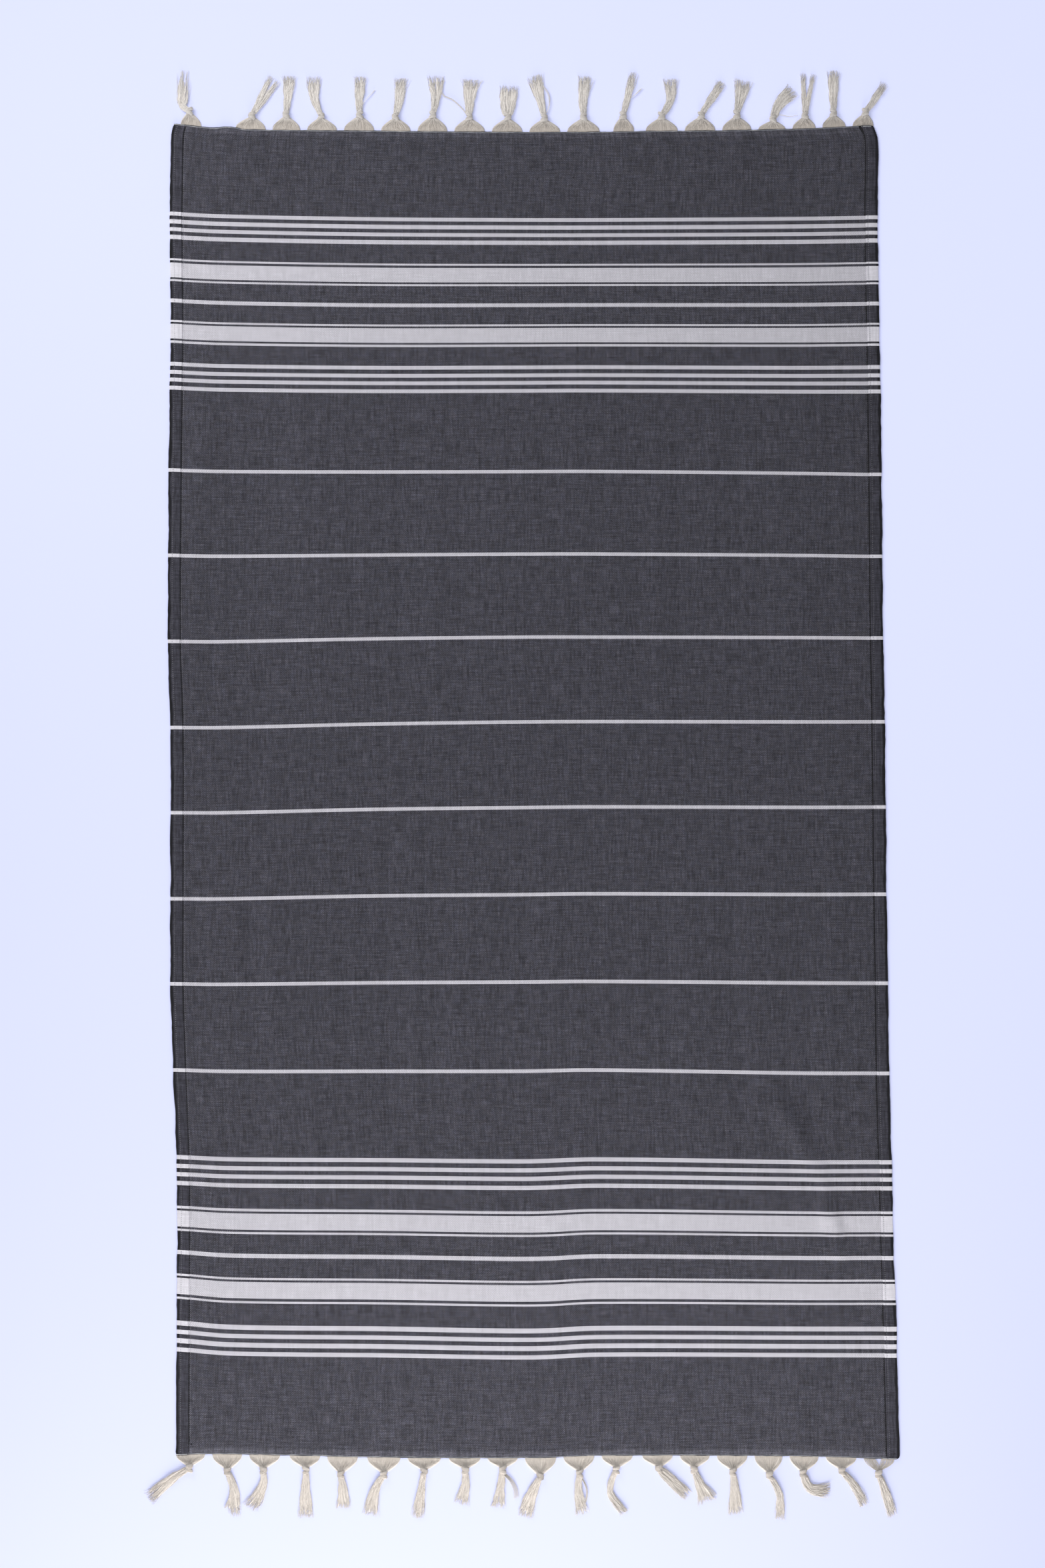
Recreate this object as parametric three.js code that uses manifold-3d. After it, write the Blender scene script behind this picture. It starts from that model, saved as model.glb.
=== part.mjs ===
// Fouta towel laid flat: one woven cotton panel, a turned hem down each long edge, and the warp ends
// of both short edges knotted into tassels.
// Millimetres. X runs across the cloth, Y along it, Z up. The towel rests on Z = 0, and the origin is
// under the middle of its outline.

import * as THREE from 'three';
import { mergeVertices } from 'three/addons/utils/BufferGeometryUtils.js';
import Module from 'manifold-3d';

const wasm = await Module();
wasm.setup();

// Driving sizes
const clothWidth = 950;
const clothLength = 1764;
const clothWall = 1.2;
const seamGap = 0.3;

const hem = { width: 16, wall: 1.2, fold: 1.5, round: 0.5 };

// A weft line's ends and its stray from straight, as the cloth lies, bottom end first.
// The stray is given at the seven places across the cloth.
const strayPlaces = [-472, -405, -205, -8, 82, 360, 462];
const laidWefts = [
  { along: -882, leftEdge: -455.0, rightEdge: 495.0, stray: [3.0, 4.0, -0.4, -1.0, 2.0, 1.0, -2.5] },
  { along: -749, leftEdge: -455.3, rightEdge: 492.5, stray: [7.1, 1.5, -1.0, -3.8, -0.2, -0.8, -1.1] },
  { along: -530, leftEdge: -456.0, rightEdge: 488.0, stray: [4.9, 1.5, 0.0, -1.9, 1.0, -2.4, -2.4] },
  { along: -379, leftEdge: -462.0, rightEdge: 484.8, stray: [2.1, 0.2, 0.3, 0.4, 1.9, -2.2, -2.4] },
  { along: -262, leftEdge: -466.3, rightEdge: 484.3, stray: [-1.2, -2.0, 0.1, 1.1, 1.9, -0.1, -0.4] },
  { along: -146, leftEdge: -467.0, rightEdge: 483.0, stray: [-4.0, -4.2, -0.3, 1.4, 2.6, 1.6, 1.9] },
  { along: 83, leftEdge: -468.5, rightEdge: 482.0, stray: [-5.3, -5.3, -0.6, 2.2, 2.7, 2.3, 2.4] },
  { along: 196, leftEdge: -472.8, rightEdge: 480.8, stray: [-3.6, -4.0, -0.2, 2.1, 2.2, 1.5, 0.8] },
  { along: 419, leftEdge: -473.0, rightEdge: 480.0, stray: [2.6, 0.8, 0.1, 0.6, 0.9, -1.7, -3.4] },
  { along: 604, leftEdge: -472.0, rightEdge: 478.5, stray: [4.2, 1.2, -1.5, -1.2, -0.8, -1.1, 0.1] },
  { along: 762, leftEdge: -474.0, rightEdge: 477.0, stray: [5.8, 2.5, -1.3, -2.5, -2.6, -1.0, 0.6] },
  { along: 866, leftEdge: -473.0, rightEdge: 478.0, stray: [7.4, 2.2, -1.0, -2.5, -2.5, 0.8, 3.0] },
  { along: 882, leftEdge: -469.5, rightEdge: 472.5, stray: [8.4, 2.0, -1.0, -2.5, -2.5, 1.5, 6.0] },
];

// Low ripples that the cloth still holds: both ends of the crest, its half width and its height
const ripples = [
  { name: 'lower right', fromX: 322, fromY: -378, toX: 398, toY: -510, half: 27, height: 2.6 },
  { name: 'upper right', fromX: 410, fromY: 430, toX: 450, toY: 302, half: 25, height: 1.8 },
  { name: 'warpwise', fromX: 46, fromY: -468, toX: 46, toY: -808, half: 25, height: 1.6 },
  { name: 'top left corner', fromX: -398, fromY: 802, toX: -402, toY: 962, half: 23, height: 2.4 },
];

// Where the panel's points lie: each run ends at its value and holds that many equal steps
const acrossStart = -(clothWidth / 2 - hem.fold - seamGap);
const acrossRuns = [
  { to: -(clothWidth / 2 - hem.width), steps: 1 },
  { to: -365, steps: 4 },
  { to: 20, steps: 8 },
  { to: 72, steps: 3 },
  { to: 290, steps: 4 },
  { to: clothWidth / 2 - hem.width, steps: 7 },
  { to: -acrossStart, steps: 1 },
];
const alongRuns = [
  { to: -820, steps: 2 },
  { to: -560, steps: 4 },
  { to: -340, steps: 8 },
  { to: 260, steps: 6 },
  { to: 440, steps: 6 },
  { to: 800, steps: 4 },
  { to: 866, steps: 3 },
  { to: clothLength / 2, steps: 1 },
];

// Tassels, left to right. at: the knot's place across. drop: cloth edge to the knot's middle.
// lean: the tip's offset from the knot. reach: cloth edge to the tip. sway: how far the tail bows to
// the right. spread: the tail's width at the tip.
const topTassels = [
  { at: -448, drop: 19, lean: -7, reach: 76, sway: -5, spread: 17 },
  { at: -364, drop: 19, lean: 31, reach: 70, sway: 0, spread: 16 },
  { at: -318, drop: 20.5, lean: 3, reach: 75, sway: 0, spread: 17 },
  { at: -271, drop: 19, lean: -10, reach: 75, sway: -4, spread: 17 },
  { at: -219, drop: 21.5, lean: 0, reach: 75, sway: -1, spread: 16 },
  { at: -171, drop: 19.5, lean: 8, reach: 73, sway: 2, spread: 19 },
  { at: -121, drop: 22, lean: 3, reach: 77, sway: 3, spread: 22 },
  { at: -72, drop: 20, lean: 2, reach: 72, sway: 0, spread: 27 },
  { at: -20, drop: 20, lean: 1, reach: 64, sway: 0, spread: 24 },
  { at: 29, drop: 19, lean: -14, reach: 78, sway: 1, spread: 19 },
  { at: 82, drop: 20, lean: 4, reach: 77, sway: -2, spread: 22 },
  { at: 135, drop: 21.5, lean: 14, reach: 82, sway: 1, spread: 13 },
  { at: 187, drop: 20, lean: 13, reach: 72, sway: 6, spread: 19 },
  { at: 240, drop: 20, lean: 28, reach: 67, sway: 0, spread: 12 },
  { at: 288, drop: 20, lean: 9, reach: 69, sway: 0, spread: 19 },
  { at: 337, drop: 13.5, lean: 29, reach: 54, sway: -5, spread: 16 },
  { at: 380, drop: 17.5, lean: 5, reach: 76, sway: 0, spread: 16 },
  { at: 418, drop: 18.5, lean: 2, reach: 78, sway: 0, spread: 18 },
  { at: 461, drop: 18, lean: 29, reach: 60, sway: 1, spread: 13 },
];
const bottomTassels = [
  { at: -437, drop: 17, lean: -55, reach: 58, sway: -2, spread: 20 },
  { at: -387, drop: 22, lean: 10, reach: 82, sway: 4, spread: 19 },
  { at: -340, drop: 20, lean: -18, reach: 71, sway: 0, spread: 19 },
  { at: -284, drop: 18, lean: 0, reach: 81, sway: 0, spread: 19 },
  { at: -238, drop: 23, lean: 4, reach: 68, sway: 0, spread: 19 },
  { at: -182, drop: 22, lean: -19, reach: 76, sway: -4, spread: 20 },
  { at: -129, drop: 18, lean: -8, reach: 79, sway: -1, spread: 14 },
  { at: -75, drop: 16, lean: -5, reach: 62, sway: 2, spread: 19 },
  { at: -26, drop: 15, lean: -6, reach: 65, sway: 0, spread: 16 },
  { at: 23, drop: 24.5, lean: -20, reach: 78, sway: -2, spread: 22 },
  { at: 75, drop: 22, lean: 3, reach: 77, sway: -3, spread: 16 },
  { at: 123, drop: 18, lean: 12, reach: 75, sway: -14, spread: 9 },
  { at: 179, drop: 17, lean: 39, reach: 54, sway: 0, spread: 17 },
  { at: 225, drop: 18, lean: 17, reach: 62, sway: 0, spread: 22 },
  { at: 276, drop: 21, lean: 5, reach: 77, sway: 0, spread: 20 },
  { at: 324, drop: 25, lean: 12, reach: 84, sway: 8, spread: 12 },
  { at: 368, drop: 22, lean: 36, reach: 45, sway: -11, spread: 19 },
  { at: 419, drop: 18, lean: 30, reach: 64, sway: 3, spread: 12 },
  { at: 467, drop: 20, lean: 19, reach: 77, sway: 1, spread: 12 },
];

const fan = {
  rootLimit: 22,
  rootSpace: 4.5,
  widths: [1, 0.93, 0.66, 0.22],
  neckShort: 2,
  crown: 1.6,
  edgeThinner: 0.3,
  neckUnder: 1,
};
const knot = { width: 9, length: 9.5, height: 6.6, sides: 6, rings: 4, floorGap: 0.4 };
const tail = {
  strands: 5,
  rootWidth: 7.6,
  rootLift: 1.5,
  liftRun: 0.25,
  fill: 0.84,
  height: 2.2,
  floorGap: 0.4,
  tipWidth: 0.55,
  tipHeight: 0.6,
  sag: 0.35,
  unevenEnd: 0.1,
  stations: [0.02, 0.3, 0.68, 1],
  bowPlace: 0.45,
};

const weaveColour = new THREE.Color(0x4b4b55);
const hemColour = new THREE.Color(0x42424b);
const warpColour = new THREE.Color(0xdcd4ca);

// Spline helpers

function slopeAt(places, values, i) {
  const before = Math.max(i - 1, 0);
  const after = Math.min(i + 1, places.length - 1);
  return (values[after] - values[before]) / (places[after] - places[before]);
}

function smoothThrough(places, values, place) {
  const last = places.length - 1;
  if (place <= places[0]) return values[0];
  if (place >= places[last]) return values[last];
  let i = 0;
  while (place > places[i + 1]) i += 1;
  const span = places[i + 1] - places[i];
  const t = (place - places[i]) / span;
  const leaving = slopeAt(places, values, i) * span;
  const arriving = slopeAt(places, values, i + 1) * span;
  const rest = 1 - t;
  return (1 + 2 * t) * rest * rest * values[i] + t * rest * rest * leaving
    + t * t * (3 - 2 * t) * values[i + 1] - t * t * rest * arriving;
}

const weftPlaces = laidWefts.map((weft) => weft.along);

// How the cloth lies

function edgeX(side, along) {
  return smoothThrough(weftPlaces, laidWefts.map((weft) => weft[side]), along);
}

function strayY(across, along) {
  const strays = laidWefts.map((weft) => smoothThrough(strayPlaces, weft.stray, across));
  return smoothThrough(weftPlaces, strays, along);
}

function rippleLift(ripple, x, y) {
  const runX = ripple.toX - ripple.fromX;
  const runY = ripple.toY - ripple.fromY;
  const run = Math.hypot(runX, runY);
  const t = ((x - ripple.fromX) * runX + (y - ripple.fromY) * runY) / (run * run);
  const off = Math.abs((x - ripple.fromX) * runY - (y - ripple.fromY) * runX) / run;
  if (t <= 0 || t >= 1 || off >= ripple.half) return 0;
  return ripple.height * Math.sin(Math.PI * t) ** 2 * Math.cos(Math.PI * off / (2 * ripple.half)) ** 2;
}

// The point of the cloth's underside at a place across and along the woven cloth
function clothPoint(across, along) {
  const share = across / clothWidth + 0.5;
  const leftX = edgeX('leftEdge', along);
  const x = leftX + share * (edgeX('rightEdge', along) - leftX);
  const y = along + strayY(across, along);
  const lift = ripples.reduce((sum, ripple) => sum + rippleLift(ripple, x, y), 0);
  return new THREE.Vector3(x, y, lift);
}

function stationsFrom(start, runs) {
  const stations = [start];
  for (const run of runs) {
    const from = stations[stations.length - 1];
    for (let step = 1; step <= run.steps; step += 1) {
      stations.push(from + (run.to - from) * step / run.steps);
    }
  }
  return stations;
}

const acrossStations = stationsFrom(acrossStart, acrossRuns);
const alongStations = stationsFrom(-clothLength / 2, alongRuns);

function raised(point, height) {
  return new THREE.Vector3(point.x, point.y, point.z + height);
}

// Closed shapes

function geometryOf(points, faces) {
  const geometry = new THREE.BufferGeometry();
  geometry.setAttribute('position', new THREE.Float32BufferAttribute(points.flatMap((p) => p.toArray()), 3));
  geometry.setIndex(faces.flat());
  return geometry;
}

// A slab between two sheets of points of the same rows and columns
function slab(topRows, bottomRows) {
  const rows = topRows.length;
  const columns = topRows[0].length;
  const points = [...topRows.flat(), ...bottomRows.flat()];
  const faces = [];
  const topIndex = (row, column) => row * columns + column;
  const bottomIndex = (row, column) => rows * columns + row * columns + column;
  const quad = (a, b, c, d) => faces.push([a, b, c], [a, c, d]);
  for (let row = 0; row < rows - 1; row += 1) {
    for (let column = 0; column < columns - 1; column += 1) {
      quad(topIndex(row, column), topIndex(row, column + 1),
        topIndex(row + 1, column + 1), topIndex(row + 1, column));
      quad(bottomIndex(row, column), bottomIndex(row + 1, column),
        bottomIndex(row + 1, column + 1), bottomIndex(row, column + 1));
    }
    quad(bottomIndex(row, 0), topIndex(row, 0), topIndex(row + 1, 0), bottomIndex(row + 1, 0));
    quad(topIndex(row, columns - 1), bottomIndex(row, columns - 1),
      bottomIndex(row + 1, columns - 1), topIndex(row + 1, columns - 1));
  }
  for (let column = 0; column < columns - 1; column += 1) {
    quad(bottomIndex(0, column), bottomIndex(0, column + 1), topIndex(0, column + 1), topIndex(0, column));
    quad(topIndex(rows - 1, column), topIndex(rows - 1, column + 1),
      bottomIndex(rows - 1, column + 1), bottomIndex(rows - 1, column));
  }
  return geometryOf(points, faces);
}

// A tube through rings of points; section is the ring's flat outline, counter-clockwise seen from the end
function loft(rings, section) {
  const sides = rings[0].length;
  const faces = [];
  for (let ring = 0; ring < rings.length - 1; ring += 1) {
    for (let side = 0; side < sides; side += 1) {
      const a = ring * sides + side;
      const b = ring * sides + (side + 1) % sides;
      faces.push([a, b, b + sides], [a, b + sides, a + sides]);
    }
  }
  const lastRing = (rings.length - 1) * sides;
  for (const [a, b, c] of THREE.ShapeUtils.triangulateShape(section, [])) {
    faces.push([a, c, b], [lastRing + a, lastRing + b, lastRing + c]);
  }
  return geometryOf(rings.flat(), faces);
}

function solidOf(geometry) {
  const bare = geometry.clone();
  bare.deleteAttribute('normal');
  bare.deleteAttribute('uv');
  const merged = mergeVertices(bare, 1e-4);
  return new wasm.Manifold(new wasm.Mesh({
    numProp: 3,
    vertProperties: new Float32Array(merged.attributes.position.array),
    triVerts: new Uint32Array(merged.index.array),
  }));
}

function geometryFromSolid(solid) {
  const mesh = solid.getMesh();
  const geometry = new THREE.BufferGeometry();
  geometry.setAttribute('position', new THREE.Float32BufferAttribute(mesh.vertProperties, 3));
  geometry.setIndex(Array.from(mesh.triVerts));
  return geometry;
}

function namedMesh(name, geometry, colour, roughness) {
  geometry.computeVertexNormals();
  const material = new THREE.MeshStandardMaterial({ color: colour, roughness, metalness: 0 });
  const mesh = new THREE.Mesh(geometry, material);
  mesh.name = name;
  return mesh;
}

// Cloth panel

function clothPanel() {
  const underRows = alongStations.map((along) => acrossStations.map((across) => clothPoint(across, along)));
  const faceRows = underRows.map((row) => row.map((point) => raised(point, clothWall)));
  return namedMesh('cloth_panel', slab(faceRows, underRows), weaveColour, 0.9);
}

// Side hems: the cloth's edge comes up round the fold and lies back over the panel

function hemSection() {
  const under = clothWall + seamGap;
  const top = under + hem.wall;
  return [
    { inset: hem.width, height: under },
    { inset: hem.width + 0.2, height: under + hem.wall * 0.55 },
    { inset: hem.width - hem.round, height: top },
    { inset: hem.width * 0.5, height: top + 0.1 },
    { inset: hem.round * 3, height: top },
    { inset: hem.round * 0.6, height: top * 0.8 },
    { inset: 0, height: top * 0.45 },
    { inset: hem.round * 0.6, height: 0 },
    { inset: hem.fold, height: 0 },
    { inset: hem.fold, height: under },
  ];
}

function sideHem(name, side) {
  const corners = hemSection();
  if (side > 0) corners.reverse();
  const section = corners.map((corner) => new THREE.Vector2(-side * corner.inset, corner.height));
  const rings = alongStations.map((along) => corners.map((corner) => {
    const point = clothPoint(side * (clothWidth / 2 - corner.inset), along);
    return raised(point, corner.height);
  }));
  if (!THREE.ShapeUtils.isClockWise(section)) {
    rings.reverse();
  }
  return namedMesh(name, loft(rings, section), hemColour, 0.92);
}

// Tassels

// The height along Y of the panel's end, between the panel's own points
function endEdgeY(x, end) {
  const line = acrossStations.map((across) => clothPoint(across, end * clothLength / 2));
  let i = 0;
  while (i < line.length - 2 && x > line[i + 1].x) i += 1;
  const t = (x - line[i].x) / (line[i + 1].x - line[i].x);
  return line[i].y + t * (line[i + 1].y - line[i].y);
}

// How far a fan's root runs to one side of its knot
function rootReach(tassels, index, direction, end) {
  const neighbour = tassels[index + direction];
  const own = tassels[index].at;
  if (neighbour) {
    return Math.min(fan.rootLimit, Math.abs(neighbour.at - own) / 2 - fan.rootSpace);
  }
  const corner = edgeX(direction > 0 ? 'rightEdge' : 'leftEdge', end * clothLength / 2);
  return Math.min(fan.rootLimit, Math.abs(corner - own));
}

// place(sideways, outward, height) turns a tassel's own sizes into a point
function fanSolid(place, reaches, rootLine, drop) {
  const rowCount = fan.widths.length - 1;
  const shares = [-1, 0, 1];
  const neck = drop - fan.neckShort;
  const topRows = [];
  const bottomRows = [];
  fan.widths.forEach((width, row) => {
    const t = row / rowCount;
    const crown = clothWall + fan.crown * t * t;
    const under = fan.neckUnder * t * t;
    topRows.push([]);
    bottomRows.push([]);
    for (const share of shares) {
      const sideways = share * (share < 0 ? reaches[0] : reaches[1]) * width;
      const outward = (rootLine(sideways) + seamGap) * (1 - t) + neck * t;
      const thinner = share === 0 ? 0 : fan.edgeThinner;
      topRows[row].push(place(sideways, outward, crown - thinner));
      bottomRows[row].push(place(sideways, outward, under));
    }
  });
  return solidOf(slab(topRows, bottomRows));
}

function knotSolid(place, drop) {
  const ball = new THREE.SphereGeometry(0.5, knot.sides, knot.rings);
  ball.rotateX(Math.PI / 2);
  const position = ball.attributes.position;
  for (let i = 0; i < position.count; i += 1) {
    const point = place(
      position.getX(i) * knot.width,
      drop + position.getY(i) * knot.length,
      knot.floorGap + (0.5 + position.getZ(i)) * knot.height,
    );
    position.setXYZ(i, point.x, point.y, point.z);
  }
  return solidOf(ball);
}

function strandSolid(place, path, share, spread) {
  const section = [new THREE.Vector2(-0.5, 0), new THREE.Vector2(0.5, 0), new THREE.Vector2(0, 1)];
  const pitchShare = 1 / tail.strands;
  const endShare = 1 - tail.unevenEnd * (Math.abs(share) + 0.5 * Math.abs(Math.sin(7 * share + spread)));
  const rings = tail.stations.map((station) => {
    const t = station * endShare;
    const atTip = station === 1;
    const middle = path.getPoint(t);
    const along = path.getTangent(t);
    const tailWidth = THREE.MathUtils.lerp(tail.rootWidth, spread, t);
    const wide = tailWidth * pitchShare * tail.fill * (atTip ? tail.tipWidth : 1);
    const high = tail.height * (1 - tail.sag * station) * (atTip ? tail.tipHeight : 1);
    const lift = tail.floorGap + tail.rootLift * Math.max(0, 1 - t / tail.liftRun);
    return section.map((corner) => {
      const off = share * tailWidth * (1 - pitchShare) / 2 + corner.x * wide;
      return place(middle.x + along.y * off, middle.y - along.x * off, lift + corner.y * high);
    });
  });
  rings.reverse();
  return solidOf(loft(rings, section));
}

function tassel(name, tassels, index, end) {
  const row = tassels[index];
  const edge = endEdgeY(row.at, end);
  const place = (sideways, outward, height) =>
    new THREE.Vector3(row.at + end * sideways, edge + end * outward, height);
  const rootLine = (sideways) => end * (endEdgeY(row.at + end * sideways, end) - edge);
  const reaches = [rootReach(tassels, index, -end, end), rootReach(tassels, index, end, end)];

  const knotSpot = new THREE.Vector2(0, row.drop);
  const tip = new THREE.Vector2(end * row.lean, row.reach);
  const run = tip.clone().sub(knotSpot);
  const aside = new THREE.Vector2(run.y, -run.x).normalize().multiplyScalar(end * row.sway);
  const bow = knotSpot.clone().addScaledVector(run, tail.bowPlace).add(aside);
  const path = new THREE.SplineCurve([knotSpot, bow, tip]);

  let solid = fanSolid(place, reaches, rootLine, row.drop).add(knotSolid(place, row.drop));
  for (let strand = 0; strand < tail.strands; strand += 1) {
    const share = 2 * strand / (tail.strands - 1) - 1;
    solid = solid.add(strandSolid(place, path, share, row.spread));
  }
  return namedMesh(name, geometryFromSolid(solid), warpColour, 0.95);
}

const towel = new THREE.Group();
towel.add(clothPanel());
towel.add(sideHem('side_hem_left', -1));
towel.add(sideHem('side_hem_right', 1));
const ends = [
  { name: 'top', tassels: topTassels, end: 1 },
  { name: 'bottom', tassels: bottomTassels, end: -1 },
];
for (const { name, tassels, end } of ends) {
  tassels.forEach((row, index) => {
    const number = String(index + 1).padStart(2, '0');
    towel.add(tassel(`tassel_${name}_${number}`, tassels, index, end));
  });
}

// The origin goes under the middle of the outline
const outline = new THREE.Box3().setFromObject(towel);
const middle = outline.getCenter(new THREE.Vector3());
towel.position.set(-middle.x, -middle.y, -outline.min.z);

export default towel;
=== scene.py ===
import math
from functools import partial, reduce

import bmesh
import bpy
import numpy as np
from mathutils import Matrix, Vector


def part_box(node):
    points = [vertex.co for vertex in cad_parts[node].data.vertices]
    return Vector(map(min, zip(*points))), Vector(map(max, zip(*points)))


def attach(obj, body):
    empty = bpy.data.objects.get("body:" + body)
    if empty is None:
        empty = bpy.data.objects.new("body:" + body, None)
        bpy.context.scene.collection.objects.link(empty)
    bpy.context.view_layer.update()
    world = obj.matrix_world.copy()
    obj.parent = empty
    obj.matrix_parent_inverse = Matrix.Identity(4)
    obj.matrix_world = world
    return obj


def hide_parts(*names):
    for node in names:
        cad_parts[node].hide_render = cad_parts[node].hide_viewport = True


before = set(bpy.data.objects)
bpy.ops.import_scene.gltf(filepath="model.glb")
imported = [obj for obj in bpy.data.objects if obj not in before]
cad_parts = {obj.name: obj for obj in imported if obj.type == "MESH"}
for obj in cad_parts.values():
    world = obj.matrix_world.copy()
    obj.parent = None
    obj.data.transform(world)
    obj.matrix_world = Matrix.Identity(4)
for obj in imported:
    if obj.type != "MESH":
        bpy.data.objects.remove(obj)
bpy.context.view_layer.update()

mm = 0.001

# How the towel lies: the sizes of its solids, in millimetres.
lay = dict(
    width=950, length=1764, wall=1.2, seam=0.3,
    panelInset=1.8,             # the panel ends inside the fold of the hems
    stretch=3.3e-5,             # picks beat in closer at the top end than at the bottom, per mm
    strayPlaces=[-472, -405, -205, -8, 82, 360, 462],
    wefts=[                     # a weft line's place, its two ends, and its stray from straight
        dict(along=-882, left=-455.0, right=495.0, stray=[3.0, 4.0, -0.4, -1.0, 2.0, 1.0, -2.5]),
        dict(along=-749, left=-455.3, right=492.5, stray=[7.1, 1.5, -1.0, -3.8, -0.2, -0.8, -1.1]),
        dict(along=-530, left=-456.0, right=488.0, stray=[4.9, 1.5, 0.0, -1.9, 1.0, -2.4, -2.4]),
        dict(along=-379, left=-462.0, right=484.8, stray=[2.1, 0.2, 0.3, 0.4, 1.9, -2.2, -2.4]),
        dict(along=-262, left=-466.3, right=484.3, stray=[-1.2, -2.0, 0.1, 1.1, 1.9, -0.1, -0.4]),
        dict(along=-146, left=-467.0, right=483.0, stray=[-4.0, -4.2, -0.3, 1.4, 2.6, 1.6, 1.9]),
        dict(along=83, left=-468.5, right=482.0, stray=[-5.3, -5.3, -0.6, 2.2, 2.7, 2.3, 2.4]),
        dict(along=196, left=-472.8, right=480.8, stray=[-3.6, -4.0, -0.2, 2.1, 2.2, 1.5, 0.8]),
        dict(along=419, left=-473.0, right=480.0, stray=[2.6, 0.8, 0.1, 0.6, 0.9, -1.7, -3.4]),
        dict(along=604, left=-472.0, right=478.5, stray=[4.2, 1.2, -1.5, -1.2, -0.8, -1.1, 0.1]),
        dict(along=762, left=-474.0, right=477.0, stray=[5.8, 2.5, -1.3, -2.5, -2.6, -1.0, 0.6]),
        dict(along=866, left=-473.0, right=478.0, stray=[7.4, 2.2, -1.0, -2.5, -2.5, 0.8, 3.0]),
        dict(along=882, left=-469.5, right=472.5, stray=[8.4, 2.0, -1.0, -2.5, -2.5, 1.5, 6.0]),
    ],
    ripples=[                   # crest from, crest to, half width, the steeper side's half width, height
        dict(start=(306, -366), end=(410, -538), half=30, steep=23, height=5.6),    # lower right
        dict(start=(410, 430), end=(450, 302), half=22, steep=10, height=1.9),      # upper right
        dict(start=(46, -468), end=(46, -808), half=25, steep=20, height=1.6),      # warpwise
        dict(start=(-398, 802), end=(-402, 962), half=23, steep=16, height=2.4),    # top left corner
        dict(start=(262, -374), end=(292, -478), half=16, steep=10, height=1.5),    # small, beside the first
        dict(start=(76, -360), end=(118, -446), half=14, steep=9, height=1.0),      # small, lower middle
        dict(start=(386, -484), end=(432, -668), half=24, steep=18, height=3.6),    # under the four lines
        dict(start=(-290, 785), end=(-452, 797), half=15, steep=8, height=2.3),     # top left, first
        dict(start=(-230, 775), end=(-344, 789), half=12, steep=8, height=1.5),     # top left, second
        dict(start=(-400, 886), end=(-412, 826), half=11, steep=7, height=1.7),     # top left, by the edge
        dict(start=(-350, 834), end=(-378, 880), half=10, steep=7, height=1.4),     # top left, by the bulge
        dict(start=(-452, -610), end=(-392, -596), half=15, steep=10, height=0.8),  # left hem, lower
        dict(start=(430, -800), end=(470, -930), half=22, steep=14, height=1.0),    # bottom right corner
    ],
    edgeRise=dict(places=[-422, -408, -397, -386, -380, -377], heights=[0, 1.1, 2.2, 2.0, 1.4, 0], fade=16),
)

# The weft draft, the same each way from the middle of the cloth: places and half widths in mm.
draft = dict(
    lonePitch=113.9, loneLimit=455.6, loneHalf=2.25,
    fourPlaces=(528.5, 739.2), fourPitch=11.0, fourHalf=2.75, fourReach=22.0,
    bandPlaces=(590.4, 676.6), bandHalf=10.3, thinOffset=14.5, thinHalf=1.5,
    singlePlace=633.5, singleHalf=2.5,
    warpPitch=0.5735, weftPitch=0.664,
    header=8.5,
)


def tassel(at, drop, lean, reach, sway, spread, **more):
    return dict(at=at, drop=drop, lean=lean, reach=reach, sway=sway, spread=spread, **more)


# Fringe, left to right, in mm. at: the knot's place across. drop: cloth edge to the knot's middle.
# lean: the tip's offset from the knot. reach: cloth edge to the tip. sway: how far the tail bows to
# the right. spread: the tail's width at the tip. Then, by name, fork: how far the tip parts in two.
# fan: how far the fan's root runs to each side. via: bends of the tail, from the knot. flare: how
# late the tail widens. open: how far the fan parts at its root.
topTassels = [
    tassel(-448, 19, -7, 76, -5, 17, fan=(12, 16), via=[(-8, 6), (-9.5, 17)]),
    tassel(-364, 19, 31, 70, 0, 16, fork=3),
    tassel(-318, 20.5, 3, 75, 0, 17),
    tassel(-271, 19, -10, 75, -4, 17),
    tassel(-219, 21.5, 0, 75, -1, 16),
    tassel(-171, 19.5, 8, 73, 2, 19),
    tassel(-121, 22, 3, 77, 3, 22, fork=3),
    tassel(-72, 20, 2, 72, 0, 27),
    tassel(-20, 20, 1, 64, 0, 24, flare=0.5),
    tassel(29, 19, -14, 78, 1, 19),
    tassel(82, 20, 4, 77, -2, 22),
    tassel(135, 21.5, 14, 82, 1, 13, fan=(13, 15)),
    tassel(187, 20, 13, 72, 6, 19),
    tassel(240, 20, 28, 67, 0, 12),
    tassel(288, 20, 9, 69, 0, 19, fork=5),
    tassel(337, 13.5, 29, 54, -5, 17, flare=0.6),
    tassel(380, 17.5, 5, 76, 0, 16, fork=8),
    tassel(418, 18.5, 2, 78, 0, 18),
    tassel(461, 18, 29, 60, 1, 13),
]
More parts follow.
